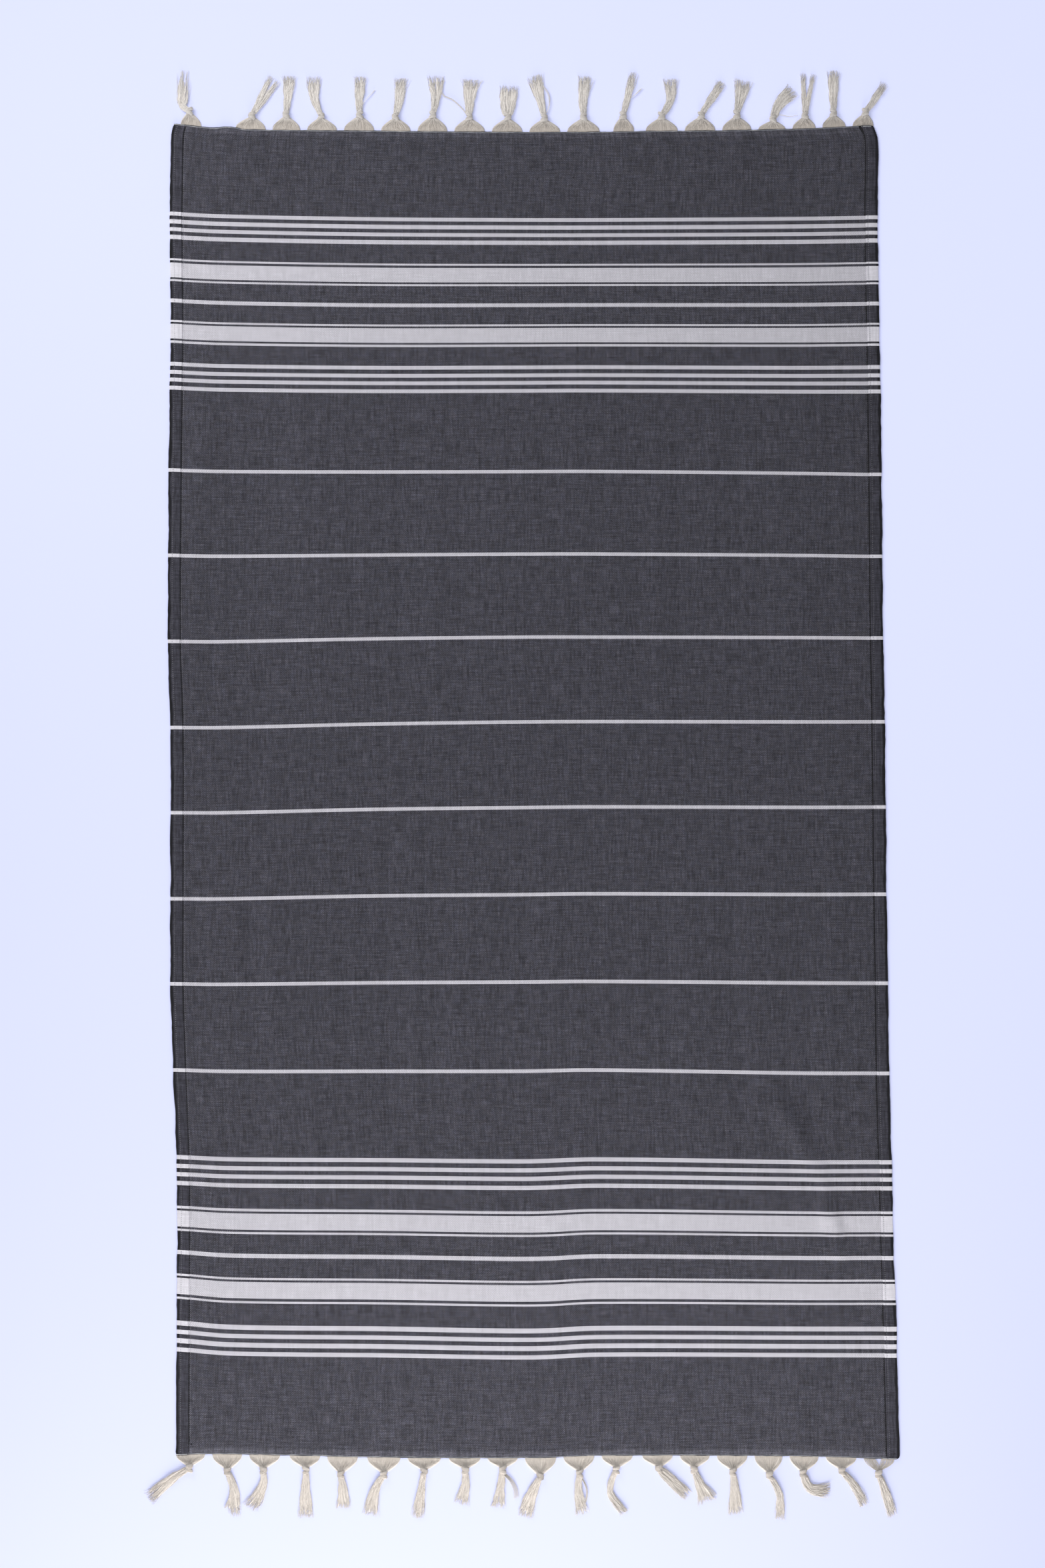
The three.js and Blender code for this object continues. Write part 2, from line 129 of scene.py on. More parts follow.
bottomTassels = [
    tassel(-437, 17, -55, 58, -2, 20, fan=(22, 18)),
    tassel(-387, 22, 10, 82, 4, 19),
    tassel(-340, 20, -18, 71, 0, 19, via=[(0, 14), (-7, 34)]),
    tassel(-284, 18, 0, 81, 0, 19),
    tassel(-238, 23, 4, 68, 0, 19),
    tassel(-182, 22, -19, 76, -4, 20),
    tassel(-129, 18, -8, 79, -1, 14),
    tassel(-75, 16, -5, 62, 2, 19),
    tassel(-26, 15, -6, 65, 0, 16, fork=2),
    tassel(23, 24.5, -20, 78, -2, 22),
    tassel(75, 22, 3, 77, -3, 16),
    tassel(123, 18, 12, 75, -14, 9),
    tassel(179, 17, 39, 54, 0, 17, flare=0.6),
    tassel(225, 18, 17, 62, 0, 22),
    tassel(276, 21, 5, 77, 0, 20),
    tassel(324, 25, 12, 84, 8, 12),
    tassel(368, 22, 36, 45, -11, 18, flare=0.8),
    tassel(419, 18, 30, 64, 3, 12),
    tassel(467, 20, 19, 77, 1, 13, flare=0.8, open=4.5),
]


# Placing things on the laid cloth

def smoothThrough(places, values, place):   # a smooth curve through values at places
    places = np.asarray(places, float)
    values = np.asarray(values, float)
    place = np.clip(place, places[0], places[-1])
    slopes = np.empty_like(values)
    slopes[1:-1] = ((values[2:] - values[:-2]).T / (places[2:] - places[:-2])).T
    slopes[0] = (values[1] - values[0]) / (places[1] - places[0])
    slopes[-1] = (values[-1] - values[-2]) / (places[-1] - places[-2])
    left = np.clip(np.searchsorted(places, place) - 1, 0, len(places) - 2)
    span = places[left + 1] - places[left]
    t = (place - places[left]) / span
    a, b = left, left + 1
    if values.ndim == 2:        # one curve to each place
        each = np.arange(values.shape[1])
        a, b = (a, each), (b, each)
    rest = 1 - t
    return ((1 + 2 * t) * rest ** 2 * values[a] + t * rest ** 2 * slopes[a] * span
            + t ** 2 * (3 - 2 * t) * values[b] - t ** 2 * rest * slopes[b] * span)


weftPlaces = [w["along"] for w in lay["wefts"]]


def edgeAt(side, along):
    return smoothThrough(weftPlaces, [w[side] for w in lay["wefts"]], along)


def rippleLift(x, y):
    lift = np.zeros_like(x)
    for ripple in lay["ripples"]:
        startX, startY = ripple["start"]
        runX, runY = ripple["end"][0] - startX, ripple["end"][1] - startY
        run = math.hypot(runX, runY)
        t = ((x - startX) * runX + (y - startY) * runY) / run ** 2
        off = ((x - startX) * runY - (y - startY) * runX) / run      # below 0 on the steep side
        off = np.where(off < 0, -off / ripple["steep"], off / ripple["half"])
        bump = np.sin(np.pi * np.clip(t, 0, 1)) ** 2
        bump = bump * np.cos(np.pi * np.clip(off, 0, 1) / 2) ** 2
        lift = lift + ripple["height"] * bump
    return lift


def alongOfPick(pick):
    half = lay["length"] / 2
    return pick + lay["stretch"] * (half ** 2 - pick ** 2)


def clothPoints(across, pick):   # underside points, in mm, before the shift to the shared frame
    across, pick = np.broadcast_arrays(np.asarray(across, float), np.asarray(pick, float))
    shape = across.shape
    across, along = across.ravel(), alongOfPick(pick.ravel())
    share = across / lay["width"] + 0.5
    left = edgeAt("left", along)
    x = left + share * (edgeAt("right", along) - left)
    strays = np.stack([smoothThrough(lay["strayPlaces"], w["stray"], across) for w in lay["wefts"]])
    y = along + smoothThrough(weftPlaces, strays, along)
    rise = lay["edgeRise"]          # a small bulge in the top edge
    fade = np.clip(1 - (lay["length"] / 2 - along) / rise["fade"], 0, 1)
    y = y + np.interp(x, rise["places"], rise["heights"]) * fade
    return np.stack([x, y, rippleLift(x, y)], axis=-1).reshape(shape + (3,))


halfLength = lay["length"] / 2
panelHalf = lay["width"] / 2 - lay["panelInset"]
hemLow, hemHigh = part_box("side_hem_left")[0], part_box("side_hem_right")[1]
endLow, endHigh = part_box("cloth_panel")
edgePicks = np.linspace(-halfLength, halfLength, 600)
outerLeft = clothPoints(-lay["width"] / 2, edgePicks)[:, 0].min()
outerRight = clothPoints(lay["width"] / 2, edgePicks)[:, 0].max()
endRow = clothPoints(np.linspace(-panelHalf, panelHalf, 200), halfLength)[:, 1].max()
startRow = clothPoints(np.linspace(-panelHalf, panelHalf, 200), -halfLength)[:, 1].min()
shift = np.array([
    (hemLow.x + hemHigh.x) / 2 / mm - (outerLeft + outerRight) / 2,
    (endLow.y + endHigh.y) / 2 / mm - (endRow + startRow) / 2,
    0.0,
])
print("stage 1: the lay of the cloth, shifted by", shift.round(2))


# Node helpers

def put(tree, kind, inputs=None, **settings):   # a node whose inputs are values or other nodes' outputs
    node = tree.nodes.new(kind)
    for name, value in settings.items():
        setattr(node, name, value)
    for name, value in (inputs or {}).items():
        if isinstance(value, bpy.types.NodeSocket):
            tree.links.new(value, node.inputs[name])
        else:
            node.inputs[name].default_value = value
    return node


def maths(tree, operation, *values):
    return put(tree, "ShaderNodeMath", dict(enumerate(values)), operation=operation).outputs[0]


def sums(tree):   # the tree's own plus, minus and times
    return [partial(maths, tree, operation) for operation in ("ADD", "SUBTRACT", "MULTIPLY")]


def scaled(tree, vector, amount):
    return put(tree, "ShaderNodeVectorMath", {0: vector, "Scale": amount}, operation="SCALE").outputs[0]


def blendColours(tree, factor, a, b):
    return put(tree, "ShaderNodeMix", {0: factor, 6: a, 7: b}, data_type="RGBA").outputs[2]


def blendValues(tree, factor, a, b):
    return put(tree, "ShaderNodeMix", {0: factor, 2: a, 3: b}, data_type="FLOAT").outputs[0]


def ramp(tree, value, low, high, toLow=0.0, toHigh=1.0):
    names = {"Value": value, "From Min": low, "From Max": high, "To Min": toLow, "To Max": toHigh}
    return put(tree, "ShaderNodeMapRange", names).outputs[0]


def noise(tree, vector, scale, detail=2.0, roughness=0.6):
    names = {"Vector": vector, "Scale": scale, "Detail": detail, "Roughness": roughness}
    return put(tree, "ShaderNodeTexNoise", names).outputs["Fac"]


def stretchedNoise(tree, vector, scale, detail=2.0):   # scale: its fineness across and along
    mapped = put(tree, "ShaderNodeMapping", {"Vector": vector, "Scale": (*scale, 1.0)}).outputs[0]
    return noise(tree, mapped, 1.0, detail)


def near(tree, value, place, half):   # 1 within half of place
    return maths(tree, "COMPARE", value, place, half)


def newMaterial(name):
    material = bpy.data.materials.new(name)
    material.use_nodes = True
    material.node_tree.nodes.clear()
    return material


def finishMaterial(material, colour, height, look):
    tree = material.node_tree
    bump = put(tree, "ShaderNodeBump", {"Height": height, "Strength": 0.8, "Distance": look["bumpDepth"]})
    shader = put(tree, "ShaderNodeBsdfPrincipled", {
        "Base Color": colour, "Normal": bump.outputs[0], "Roughness": look["roughness"],
        "Specular IOR Level": 0.25, "Sheen Weight": look["sheen"], "Sheen Roughness": 0.6,
    })
    put(tree, "ShaderNodeOutputMaterial", {0: shader.outputs[0]})
    return material


def linear(red, green, blue):   # a colour read off a screen, 0 to 255
    def one(value):
        value = value / 255
        return value / 12.92 if value <= 0.04045 else ((value + 0.055) / 1.055) ** 2.4
    return (one(red), one(green), one(blue), 1.0)


# Cloth finish: twill, stripes, header and hem in one draft

clothLook = dict(
    darkWeft=linear(49, 49, 60), brownWeft=linear(54, 52, 59), whiteWeft=linear(218, 215, 223),
    # the warp on white: the warp's own grey, plus painted shade of the sunken binding points
    warp=linear(111, 110, 121), warpGreyAndShadeOnWhite=linear(156, 153, 163), speck=linear(24, 23, 28),
    hemWeft=linear(47, 46, 56), hemWhite=linear(240, 237, 245), edgeWeft=linear(20, 19, 25),
    dashWide=0.50, dashLong=0.62, dashUneven=0.30, dashInHeader=0.8, dashInHem=0.32,
    slubs=0.46, slubScale=(38.0, 620.0), streaks=0.46, streakScale=(420.0, 45.0),
    longStreaks=0.11, longStreakScale=(110.0, 1.6), clouds=0.25, cloudScale=420.0,
    picks=0.08, ends=0.07, calmOnWhite=0.2,
    tintScale=150.0, speckScale=62.0, speckShare=0.3, rollScale=(0.0, 22.0),
    roughness=0.9, sheen=0.06, bumpDepth=0.0002,
)


def whiteWeftMask(tree, pickPlace):   # where the weft is white, and where that is a stripe's lower half
    plus, minus, times = sums(tree)
    reach = maths(tree, "ABSOLUTE", pickPlace)
    side = maths(tree, "SIGN", pickPlace)
    masks, offsets = [], []

    def add(mask, offset):
        masks.append(mask)
        offsets.append(times(mask, offset))

    turn = maths(tree, "FRACT", maths(tree, "DIVIDE", reach, draft["lonePitch"]))
    loneOff = times(minus(turn, 0.5), draft["lonePitch"])
    inside = maths(tree, "LESS_THAN", reach, draft["loneLimit"])
    add(times(near(tree, loneOff, 0.0, draft["loneHalf"]), inside), loneOff)
    for place in draft["fourPlaces"]:
        off = minus(reach, place)
        pitch = draft["fourPitch"]
        inPitch = minus(maths(tree, "FLOORED_MODULO", off, pitch), pitch / 2)
        inside = near(tree, off, 0.0, draft["fourReach"])
        add(times(near(tree, inPitch, 0.0, draft["fourHalf"]), inside), inPitch)
    for place in draft["bandPlaces"]:
        off = minus(reach, place)
        add(near(tree, off, 0.0, draft["bandHalf"]), off)
        add(near(tree, maths(tree, "ABSOLUTE", off), draft["thinOffset"], draft["thinHalf"]), off)
    off = minus(reach, draft["singlePlace"])
    add(near(tree, off, 0.0, draft["singleHalf"]), off)

    mask = reduce(partial(maths, tree, "MAXIMUM"), masks)
    lower = maths(tree, "LESS_THAN", times(reduce(plus, offsets), side), 0.0)
    return mask, times(mask, lower)


def clothMaterial(name, isHem):
    look = clothLook
    material = newMaterial(name)
    tree = material.node_tree
    plus, minus, times = sums(tree)
    divide = partial(maths, tree, "DIVIDE")

    def varied(value, low, high, amount):   # the value's range as 1 - amount to 1 + amount
        return ramp(tree, value, low, high, 1 - amount, 1 + amount)

    def random(dimensions, **inputs):
        return put(tree, "ShaderNodeTexWhiteNoise", inputs, noise_dimensions=dimensions).outputs[0]

    def cubed(value, size):   # how far from a yarn's middle
        return maths(tree, "POWER", maths(tree, "ABSOLUTE", divide(value, size)), 3.0)

    uv = put(tree, "ShaderNodeUVMap", uv_map="weave").outputs[0]
    where = put(tree, "ShaderNodeSeparateXYZ", {0: uv})
    across, along = divide(where.outputs[0], mm), divide(where.outputs[1], mm)
    warpTurn, weftTurn = divide(across, draft["warpPitch"]), divide(along, draft["weftPitch"])
    warpEnd, pick = maths(tree, "FLOOR", warpTurn), maths(tree, "FLOOR", weftTurn)
    inWarp, inWeft = minus(minus(warpTurn, warpEnd), 0.5), minus(minus(weftTurn, pick), 0.5)
    white, lowerWhite = whiteWeftMask(tree, times(plus(pick, 0.5), draft["weftPitch"]))
    step = plus(warpEnd, times(pick, minus(1.0, times(lowerWhite, 2.0))))

    def onTop(repeat):   # one warp end in so many lies over the weft
        return maths(tree, "LESS_THAN", maths(tree, "FLOORED_MODULO", step, repeat), 0.5)

    # which yarn lies on top: one over three in the twill, one over one in the ribbed parts
    over = onTop(2.0)
    if not isHem:
        ribbed = maths(tree, "GREATER_THAN", maths(tree, "ABSOLUTE", along), halfLength - draft["header"])
        over = plus(times(over, ribbed), times(onTop(4.0), minus(1.0, ribbed)))

    # yarn to yarn and place to place variation
    perPick = random("1D", W=pick)
    perEnd = random("1D", W=warpEnd)
    perFloat = random("2D", Vector=put(tree, "ShaderNodeCombineXYZ", {0: warpEnd, 1: pick}).outputs[0])
    slub = stretchedNoise(tree, uv, look["slubScale"])
    streak = stretchedNoise(tree, uv, look["streakScale"])
    longStreak = stretchedNoise(tree, uv, look["longStreakScale"])
    cloudy = noise(tree, uv, look["cloudScale"], 5.0, 0.7)
    tint = noise(tree, uv, look["tintScale"], roughness=0.5)

    fromMiddle = plus(cubed(inWarp, look["dashWide"]), cubed(inWeft, look["dashLong"]))
    dash = times(ramp(tree, fromMiddle, 1.25, 0.55), over)
    weftRound = times(inWeft, inWeft)
    if isHem:
        roll = ramp(tree, stretchedNoise(tree, uv, look["rollScale"], 3.0), 0.3, 0.7, -1.0, 1.6)
        edge = plus(maths(tree, "ABSOLUTE", across), roll)
        atEdge = ramp(tree, edge, lay["width"] / 2 - 4.0, lay["width"] / 2 - 2.6)
        darkEdge = times(atEdge, minus(1.0, white))
        weftColour = blendColours(tree, white, look["hemWeft"], look["hemWhite"])
        weftColour = blendColours(tree, darkEdge, weftColour, look["edgeWeft"])
        dash = times(times(dash, minus(1.0, darkEdge)), look["dashInHem"])
    else:
        darkWeft = blendColours(tree, ramp(tree, tint, 0.4, 0.6), look["darkWeft"], look["brownWeft"])
        weftColour = blendColours(tree, white, darkWeft, look["whiteWeft"])
        dash = times(dash, ramp(tree, ribbed, 0.0, 1.0, 1.0, look["dashInHeader"]))
    # in the white stripes the warp floats sit well below the white weft: the warp's own grey, and painted
    # shade of the binding points
    warpColour = blendColours(tree, white, look["warp"], look["warpGreyAndShadeOnWhite"])
    floatLight = blendValues(tree, white, varied(perFloat, 0.0, 1.0, look["dashUneven"]), 1.0)
    colour = blendColours(tree, dash, weftColour, scaled(tree, warpColour, floatLight))

    light = varied(slub, 0.25, 0.75, look["slubs"])
    for value, low, high, amount in (
            (streak, 0.25, 0.75, "streaks"), (cloudy, 0.25, 0.75, "clouds"),
            (longStreak, 0.3, 0.7, "longStreaks"), (perPick, 0.0, 1.0, "picks"), (perEnd, 0.0, 1.0, "ends")):
        light = times(light, varied(value, low, high, look[amount]))
    calm = maths(tree, "MULTIPLY_ADD", minus(light, 1.0), look["calmOnWhite"], 1.0)
    light = blendValues(tree, white, light, calm)
    # painted shade: the colour darkens towards each pick's edges, in the valleys between picks
    light = times(light, ramp(tree, weftRound, 0.0, 0.25, 1.06, 0.86))
    colour = scaled(tree, colour, light)

    names = {"Vector": uv, "Scale": look["speckScale"], "Randomness": 1.0}
    specks = put(tree, "ShaderNodeTexVoronoi", names)
    tiny = ramp(tree, specks.outputs["Distance"], 0.085, 0.045)
    chosen = put(tree, "ShaderNodeSeparateColor", {0: specks.outputs["Color"]}).outputs[0]
    speck = times(tiny, maths(tree, "LESS_THAN", chosen, look["speckShare"]))
    speck = times(speck, ramp(tree, white, 0.0, 1.0, 0.75, 0.12))
    colour = blendColours(tree, speck, colour, look["speck"])

    overHeight = ramp(tree, times(inWarp, inWarp), 0.0, 0.25, 1.25, 0.35)
    underHeight = ramp(tree, weftRound, 0.0, 0.25, 1.0, 0.0)
    height = plus(times(overHeight, over), times(underHeight, minus(1.0, over)))
    return finishMaterial(material, colour, plus(height, times(slub, 0.4)), look)


# Yarn finish: unbleached cotton, coloured darker in the fan than in the tail as painted shade, together with
# the dark cloth seen through the thin fan

yarnLook = dict(
    # fan is the same cotton as tail, painted darker for the fan's shade and the dark cloth under it
    fan=linear(216, 207, 198), tail=linear(250, 245, 240), knot=linear(243, 236, 229),
    darkPick=linear(34, 34, 42), palePick=linear(118, 121, 130), brightPick=linear(205, 205, 207),
    fibreScale=2600.0, patchScale=260.0, dullest=0.81, brightest=1.05,
    roughness=0.92, sheen=0.25, bumpDepth=0.0002,
)


def yarnMaterial(name, start, end):   # from the start's colour to the end's as the tone goes from 0 to 1
    look = yarnLook
    material = newMaterial(name)
    tree = material.node_tree
    times = partial(maths, tree, "MULTIPLY")
    place = put(tree, "ShaderNodeTexCoord").outputs["Object"]
    tone = put(tree, "ShaderNodeAttribute", attribute_name="tone").outputs["Fac"]
    strand = put(tree, "ShaderNodeAttribute", attribute_name="strand").outputs["Fac"]
    fibre = noise(tree, place, look["fibreScale"])
    patch = noise(tree, place, look["patchScale"], 3.0)
    perYarn = ramp(tree, strand, -1.0, 1.0, look["dullest"], look["brightest"])
    light = times(ramp(tree, fibre, 0.25, 0.75, 0.90, 1.08), perYarn)
    light = times(light, ramp(tree, patch, 0.3, 0.7, 0.94, 1.05))
    return finishMaterial(material, scaled(tree, blendColours(tree, tone, start, end), light), fibre, look)


def plainMaterial(name, colour, roughness):
    material = newMaterial(name)
    tree = material.node_tree
    grain = noise(tree, put(tree, "ShaderNodeTexCoord").outputs["Object"], 1400.0, 3.0)
    shaded = scaled(tree, colour[:3], ramp(tree, grain, 0.25, 0.75, 0.88, 1.1))
    return finishMaterial(material, shaded, grain, dict(roughness=roughness, bumpDepth=0.0002, sheen=0.1))


twillFinish = clothMaterial("twill", False)
hemFinish = clothMaterial("ribbedHem", True)
warpYarnFinish = yarnMaterial("warpYarn", yarnLook["fan"], yarnLook["tail"])
fanSheetFinish = yarnMaterial("fanSheet", yarnLook["fan"], yarnLook["knot"])
palePickFinish = yarnMaterial("palePick", yarnLook["palePick"], yarnLook["brightPick"])
darkPickFinish = yarnMaterial("darkPick", yarnLook["darkPick"], yarnLook["darkPick"])
print("stage 2: finishes made")


# Cloth panel: a thin closed shell with its weave coordinates

panelLook = dict(               # the mesh's step from each place on
    across=[(-472, 4.5), (-235, 9.0), (60, 7.0), (130, 10.0), (250, 3.7), (460, 6.0), (472, 6.0)],
    along=[(-882, 8.5), (-660, 5.0), (-360, 9.0), (290, 6.0), (440, 8.5), (760, 4.2), (882, 4.2)],
    unevenness=0.10, waveSize=70.0, waves=9, seed=11,
)


def stationsOf(runs, end):
    places = []
    for (start, step), (stop, _) in zip(runs[:-1], runs[1:]):
        places += list(np.linspace(start, stop, max(1, int(round((stop - start) / step))), endpoint=False))
    places = np.array(places + [runs[-1][0]])
    places[0], places[-1] = -end, end
    return places


def linkObject(name, data):
    piece = bpy.data.objects.new(name, data)
    bpy.context.scene.collection.objects.link(piece)
    return piece


def meshObject(name, points, faces, material):
    mesh = bpy.data.meshes.new(name)
    mesh.from_pydata((np.asarray(points) * mm).tolist(), [], faces)
    mesh.materials.append(material)
    mesh.update()
    return linkObject(name, mesh)


def setWeaveMap(piece, weave):   # weave: across and pick of each vertex, in mm
    layer = piece.data.uv_layers.new(name="weave")
    corners = np.empty(len(piece.data.loops), np.int32)
    piece.data.loops.foreach_get("vertex_index", corners)
    layer.data.foreach_set("uv", (np.asarray(weave)[corners] * mm).ravel().astype(np.float32))


def shadeSmooth(piece):
    piece.data.polygons.foreach_set("use_smooth", [True] * len(piece.data.polygons))


def faceOutward(piece):
    shape = bmesh.new()
    shape.from_mesh(piece.data)
    bmesh.ops.recalc_face_normals(shape, faces=shape.faces)
    shape.to_mesh(piece.data)
    shape.free()


def shellFaces(rows, columns, first=0):   # a closed shell: a grid of face points, then the same under it
    count = rows * columns
    grid = first + np.arange(count).reshape(rows, columns)
    quads = np.stack([grid[:-1, :-1], grid[:-1, 1:], grid[1:, 1:], grid[1:, :-1]], axis=-1).reshape(-1, 4)
    faces = quads.tolist() + (quads[:, ::-1] + count).tolist()
    for rim in (grid[0, :], grid[:, -1], grid[-1, ::-1], grid[::-1, 0]):
        faces += np.stack([rim[:-1] + count, rim[1:] + count, rim[1:], rim[:-1]], axis=-1).tolist()
    return faces


def ringFaces(index):   # faces between rings of points, each ring closed on itself
    ahead = np.roll(index, -1, axis=1)
    return np.stack([index[:-1], ahead[:-1], ahead[1:], index[1:]], axis=-1).reshape(-1, 4)


def softNoise(points, look):   # a smooth random height between -1 and 1
    maker = np.random.default_rng(look["seed"])
    total = np.zeros(points.shape[:-1])
    for _ in range(look["waves"]):
        angle = maker.uniform(0, 2 * np.pi)
        length = look["waveSize"] * maker.uniform(0.7, 1.8)
        phase = maker.uniform(0, 2 * np.pi)
        line = points[..., 0] * math.cos(angle) + points[..., 1] * math.sin(angle)
        total += np.sin(line * 2 * np.pi / length + phase)
    return total / look["waves"]


def makePanel():
    look = panelLook
    across, pick = np.meshgrid(stationsOf(look["across"], panelHalf), stationsOf(look["along"], halfLength))
    under = clothPoints(across, pick) + shift
    under[..., 2] += look["unevenness"] * (1 + softNoise(under, look))
    face = under + [0, 0, lay["wall"]]
    points = np.concatenate([face.reshape(-1, 3), under.reshape(-1, 3)])
    piece = meshObject("clothPanel", points, shellFaces(*across.shape), twillFinish)
    setWeaveMap(piece, np.tile(np.stack([across.ravel(), pick.ravel()], axis=-1), (2, 1)))
    shadeSmooth(piece)
    return piece


clothPanel = makePanel()
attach(clothPanel, "root")
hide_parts("cloth_panel")
print("stage 3: cloth panel with", len(clothPanel.data.polygons), "faces")


# Side hems: the edge of the cloth turned onto its face, with a soft outer roll

hemLook = dict(
    width=16.0, wall=1.2, fold=1.5, step=6.0, rollSteps=6, rollWide=1.9, rollFoot=1.5,
    seamDip=0.45, seamInset=13.0, wobble=0.35, wobbleFrom=6.0, wobbleFull=10.0, pucker=0.16, puckerAt=8.5,
    scallop=0.95, scallopReach=7.0, roundReach=9.0,
    endInsets=[0, 0.3, 0.9, 1.8, 3.0, 4.6], endClear=8,
    corners={"sideHemLeft": (3.0, 3.0), "sideHemRight": (4.6, 3.4)},   # bottom and top corner's rounding
)


def hemOutline():   # the hem's section, as insets from its outer edge and heights
    look = hemLook
    width, seam, fold, foot = look["width"], look["seamInset"], look["fold"], look["rollFoot"]
    under = lay["wall"] + lay["seam"]
    top = under + look["wall"]
    outline = [
        (width - 0.1, under), (width + 0.25, under + 0.45), (width - 0.15, top - 0.2),
        (width - 0.9, top - 0.02), (seam + 0.9, top), (seam, top - look["seamDip"]), (seam - 1.1, top),
        (9.0, top + 0.12), (5.5, top + 0.14), (3.0, top + 0.05),
    ]
    for turn in range(look["rollSteps"] + 1):
        angle = math.pi / 2 * turn / look["rollSteps"]
        inset = look["rollWide"] - look["rollWide"] * math.sin(angle)
        outline.append((inset, foot + (top - foot) * math.cos(angle)))
    return outline + [(0.1, 0.6), (0.5, 0.1), (1.0, 0.02), (fold, 0.05), (fold, 0.8), (fold + 0.1, under)]


def cornerCut(distance, radius):   # how far a rounded corner lies inside the edge
    inside = np.clip(radius - distance, 0, radius)
    return radius - np.sqrt(radius ** 2 - inside ** 2)


def evened(values, window, divisor):   # values evened out over a window
    return np.convolve(values, np.ones(window) / divisor, "valid")


def makeHem(name, side, seed):
    look = hemLook
    clear, ends = look["endClear"], np.array(look["endInsets"])
    middle = np.linspace(clear - halfLength, halfLength - clear, int(round(lay["length"] / look["step"])))
    picks = np.concatenate([ends - halfLength, middle, halfLength - ends[::-1]])
    rows = len(picks)
    startRound, endRound = look["corners"][name]
    roundOff = cornerCut(picks + halfLength, startRound) + cornerCut(halfLength - picks, endRound)
    maker = np.random.default_rng(seed)
    wobble = evened(maker.uniform(-1, 1, rows + 10), 11, 5.5) * look["wobble"]
    pucker = evened(maker.uniform(-1, 1, rows + 4), 5, 3.5) * look["pucker"]
    scallop = evened(maker.uniform(-1, 1, rows + 4), 5, 3) * look["scallop"]
    points, weave = [], []
    for inset, height in hemOutline():
        isTop = height > lay["wall"] + lay["seam"] + 0.4
        atSeam = np.clip((inset - look["wobbleFrom"]) / look["wobbleFull"], 0, 1)
        inner = atSeam * wobble if isTop else 0.0
        inner = inner + scallop * np.clip(1 - inset / look["scallopReach"], 0, 1)
        inner = inner + roundOff * np.clip(1 - inset / look["roundReach"], 0, 1)
        spots = clothPoints(side * (lay["width"] / 2 - inset - inner), picks) + shift
        atMiddle = np.clip(1 - abs(inset - look["puckerAt"]) / look["puckerAt"], 0, 1)
        lift = pucker * atMiddle if isTop else 0.0
        spots[:, 2] += height + lift
        points.append(spots)
        weave.append(np.stack([np.broadcast_to(side * (lay["width"] / 2 - inset), rows), picks], axis=-1))
    index = np.arange(rows * len(points)).reshape(rows, len(points))
    quads = ringFaces(index)
    faces = (quads if side > 0 else quads[:, ::-1]).tolist()
    capStart, capEnd = index[0].tolist(), index[-1].tolist()
    faces += [capStart[::-1], capEnd] if side > 0 else [capStart, capEnd[::-1]]
    piece = meshObject(name, np.stack(points, axis=1).reshape(-1, 3), faces, hemFinish)
    setWeaveMap(piece, np.stack(weave, axis=1).reshape(-1, 2))
    shadeSmooth(piece)
    return piece


hemLeft = makeHem("sideHemLeft", -1, 21)
hemRight = makeHem("sideHemRight", 1, 22)
for piece, node in ((hemLeft, "side_hem_left"), (hemRight, "side_hem_right")):
    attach(piece, "root")
    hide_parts(node)
print("stage 4: side hems")


# Geometry Nodes trees: yarns along guide lines, and stitches along a seam

def newTree(name, values):   # a tree with named inputs and their values when nothing else is given
    tree = bpy.data.node_groups.new(name, "GeometryNodeTree")
    add = tree.interface.new_socket
    add("Geometry", in_out="OUTPUT", socket_type="NodeSocketGeometry")
    add("Geometry", in_out="INPUT", socket_type="NodeSocketGeometry")
    for key, value in values.items():
        kind = "NodeSocketInt" if isinstance(value, int) else "NodeSocketFloat"
        add(key, in_out="INPUT", socket_type=kind).default_value = value
    add("Finish", in_out="INPUT", socket_type="NodeSocketMaterial")
    given = tree.nodes.new("NodeGroupInput").outputs
    curve = put(tree, "GeometryNodeMeshToCurve", {0: given["Geometry"]}).outputs[0]
    return tree, given, curve


def endTree(tree, geometry, finish):
    finished = put(tree, "GeometryNodeSetMaterial", {"Geometry": geometry, "Material": finish}).outputs[0]
    put(tree, "NodeGroupOutput", {0: finished})
    return tree


def yarnTree():
    values = {"Yarn Radius": 0.00035, "Sides": 4, "Wander": 0.0002, "Seed": 3}
    tree, given, curve = newTree("yarnsAlongGuides", values)

    def ownValue(key):
        return put(tree, "GeometryNodeInputNamedAttribute", {"Name": key}, data_type="FLOAT").outputs[0]

    # a small wander of the guide points, by as much as the guide's own "loose" value
    shake = {"Seed": given["Seed"], 0: (-1, -1, 0), 1: (1, 1, 1)}
    shake = put(tree, "FunctionNodeRandomValue", shake, data_type="FLOAT_VECTOR").outputs[0]
    offset = scaled(tree, shake, maths(tree, "MULTIPLY", ownValue("loose"), given["Wander"]))
    moved = put(tree, "GeometryNodeSetPosition", {"Geometry": curve, "Offset": offset}).outputs[0]
    thick = ownValue("thick")
    sized = put(tree, "GeometryNodeSetCurveRadius", {"Curve": moved, "Radius": thick}).outputs[0]
    names = {"Resolution": given["Sides"], "Radius": given["Yarn Radius"]}
    profile = put(tree, "GeometryNodeCurvePrimitiveCircle", names).outputs[0]
    names = {"Curve": sized, "Profile Curve": profile, "Fill Caps": True}
    tube = put(tree, "GeometryNodeCurveToMesh", names)
    if "Scale" in tube.inputs:
        tree.links.new(thick, tube.inputs["Scale"])
    real = put(tree, "GeometryNodeRealizeInstances", {0: tube.outputs[0]}).outputs[0]
    return endTree(tree, real, given["Finish"])


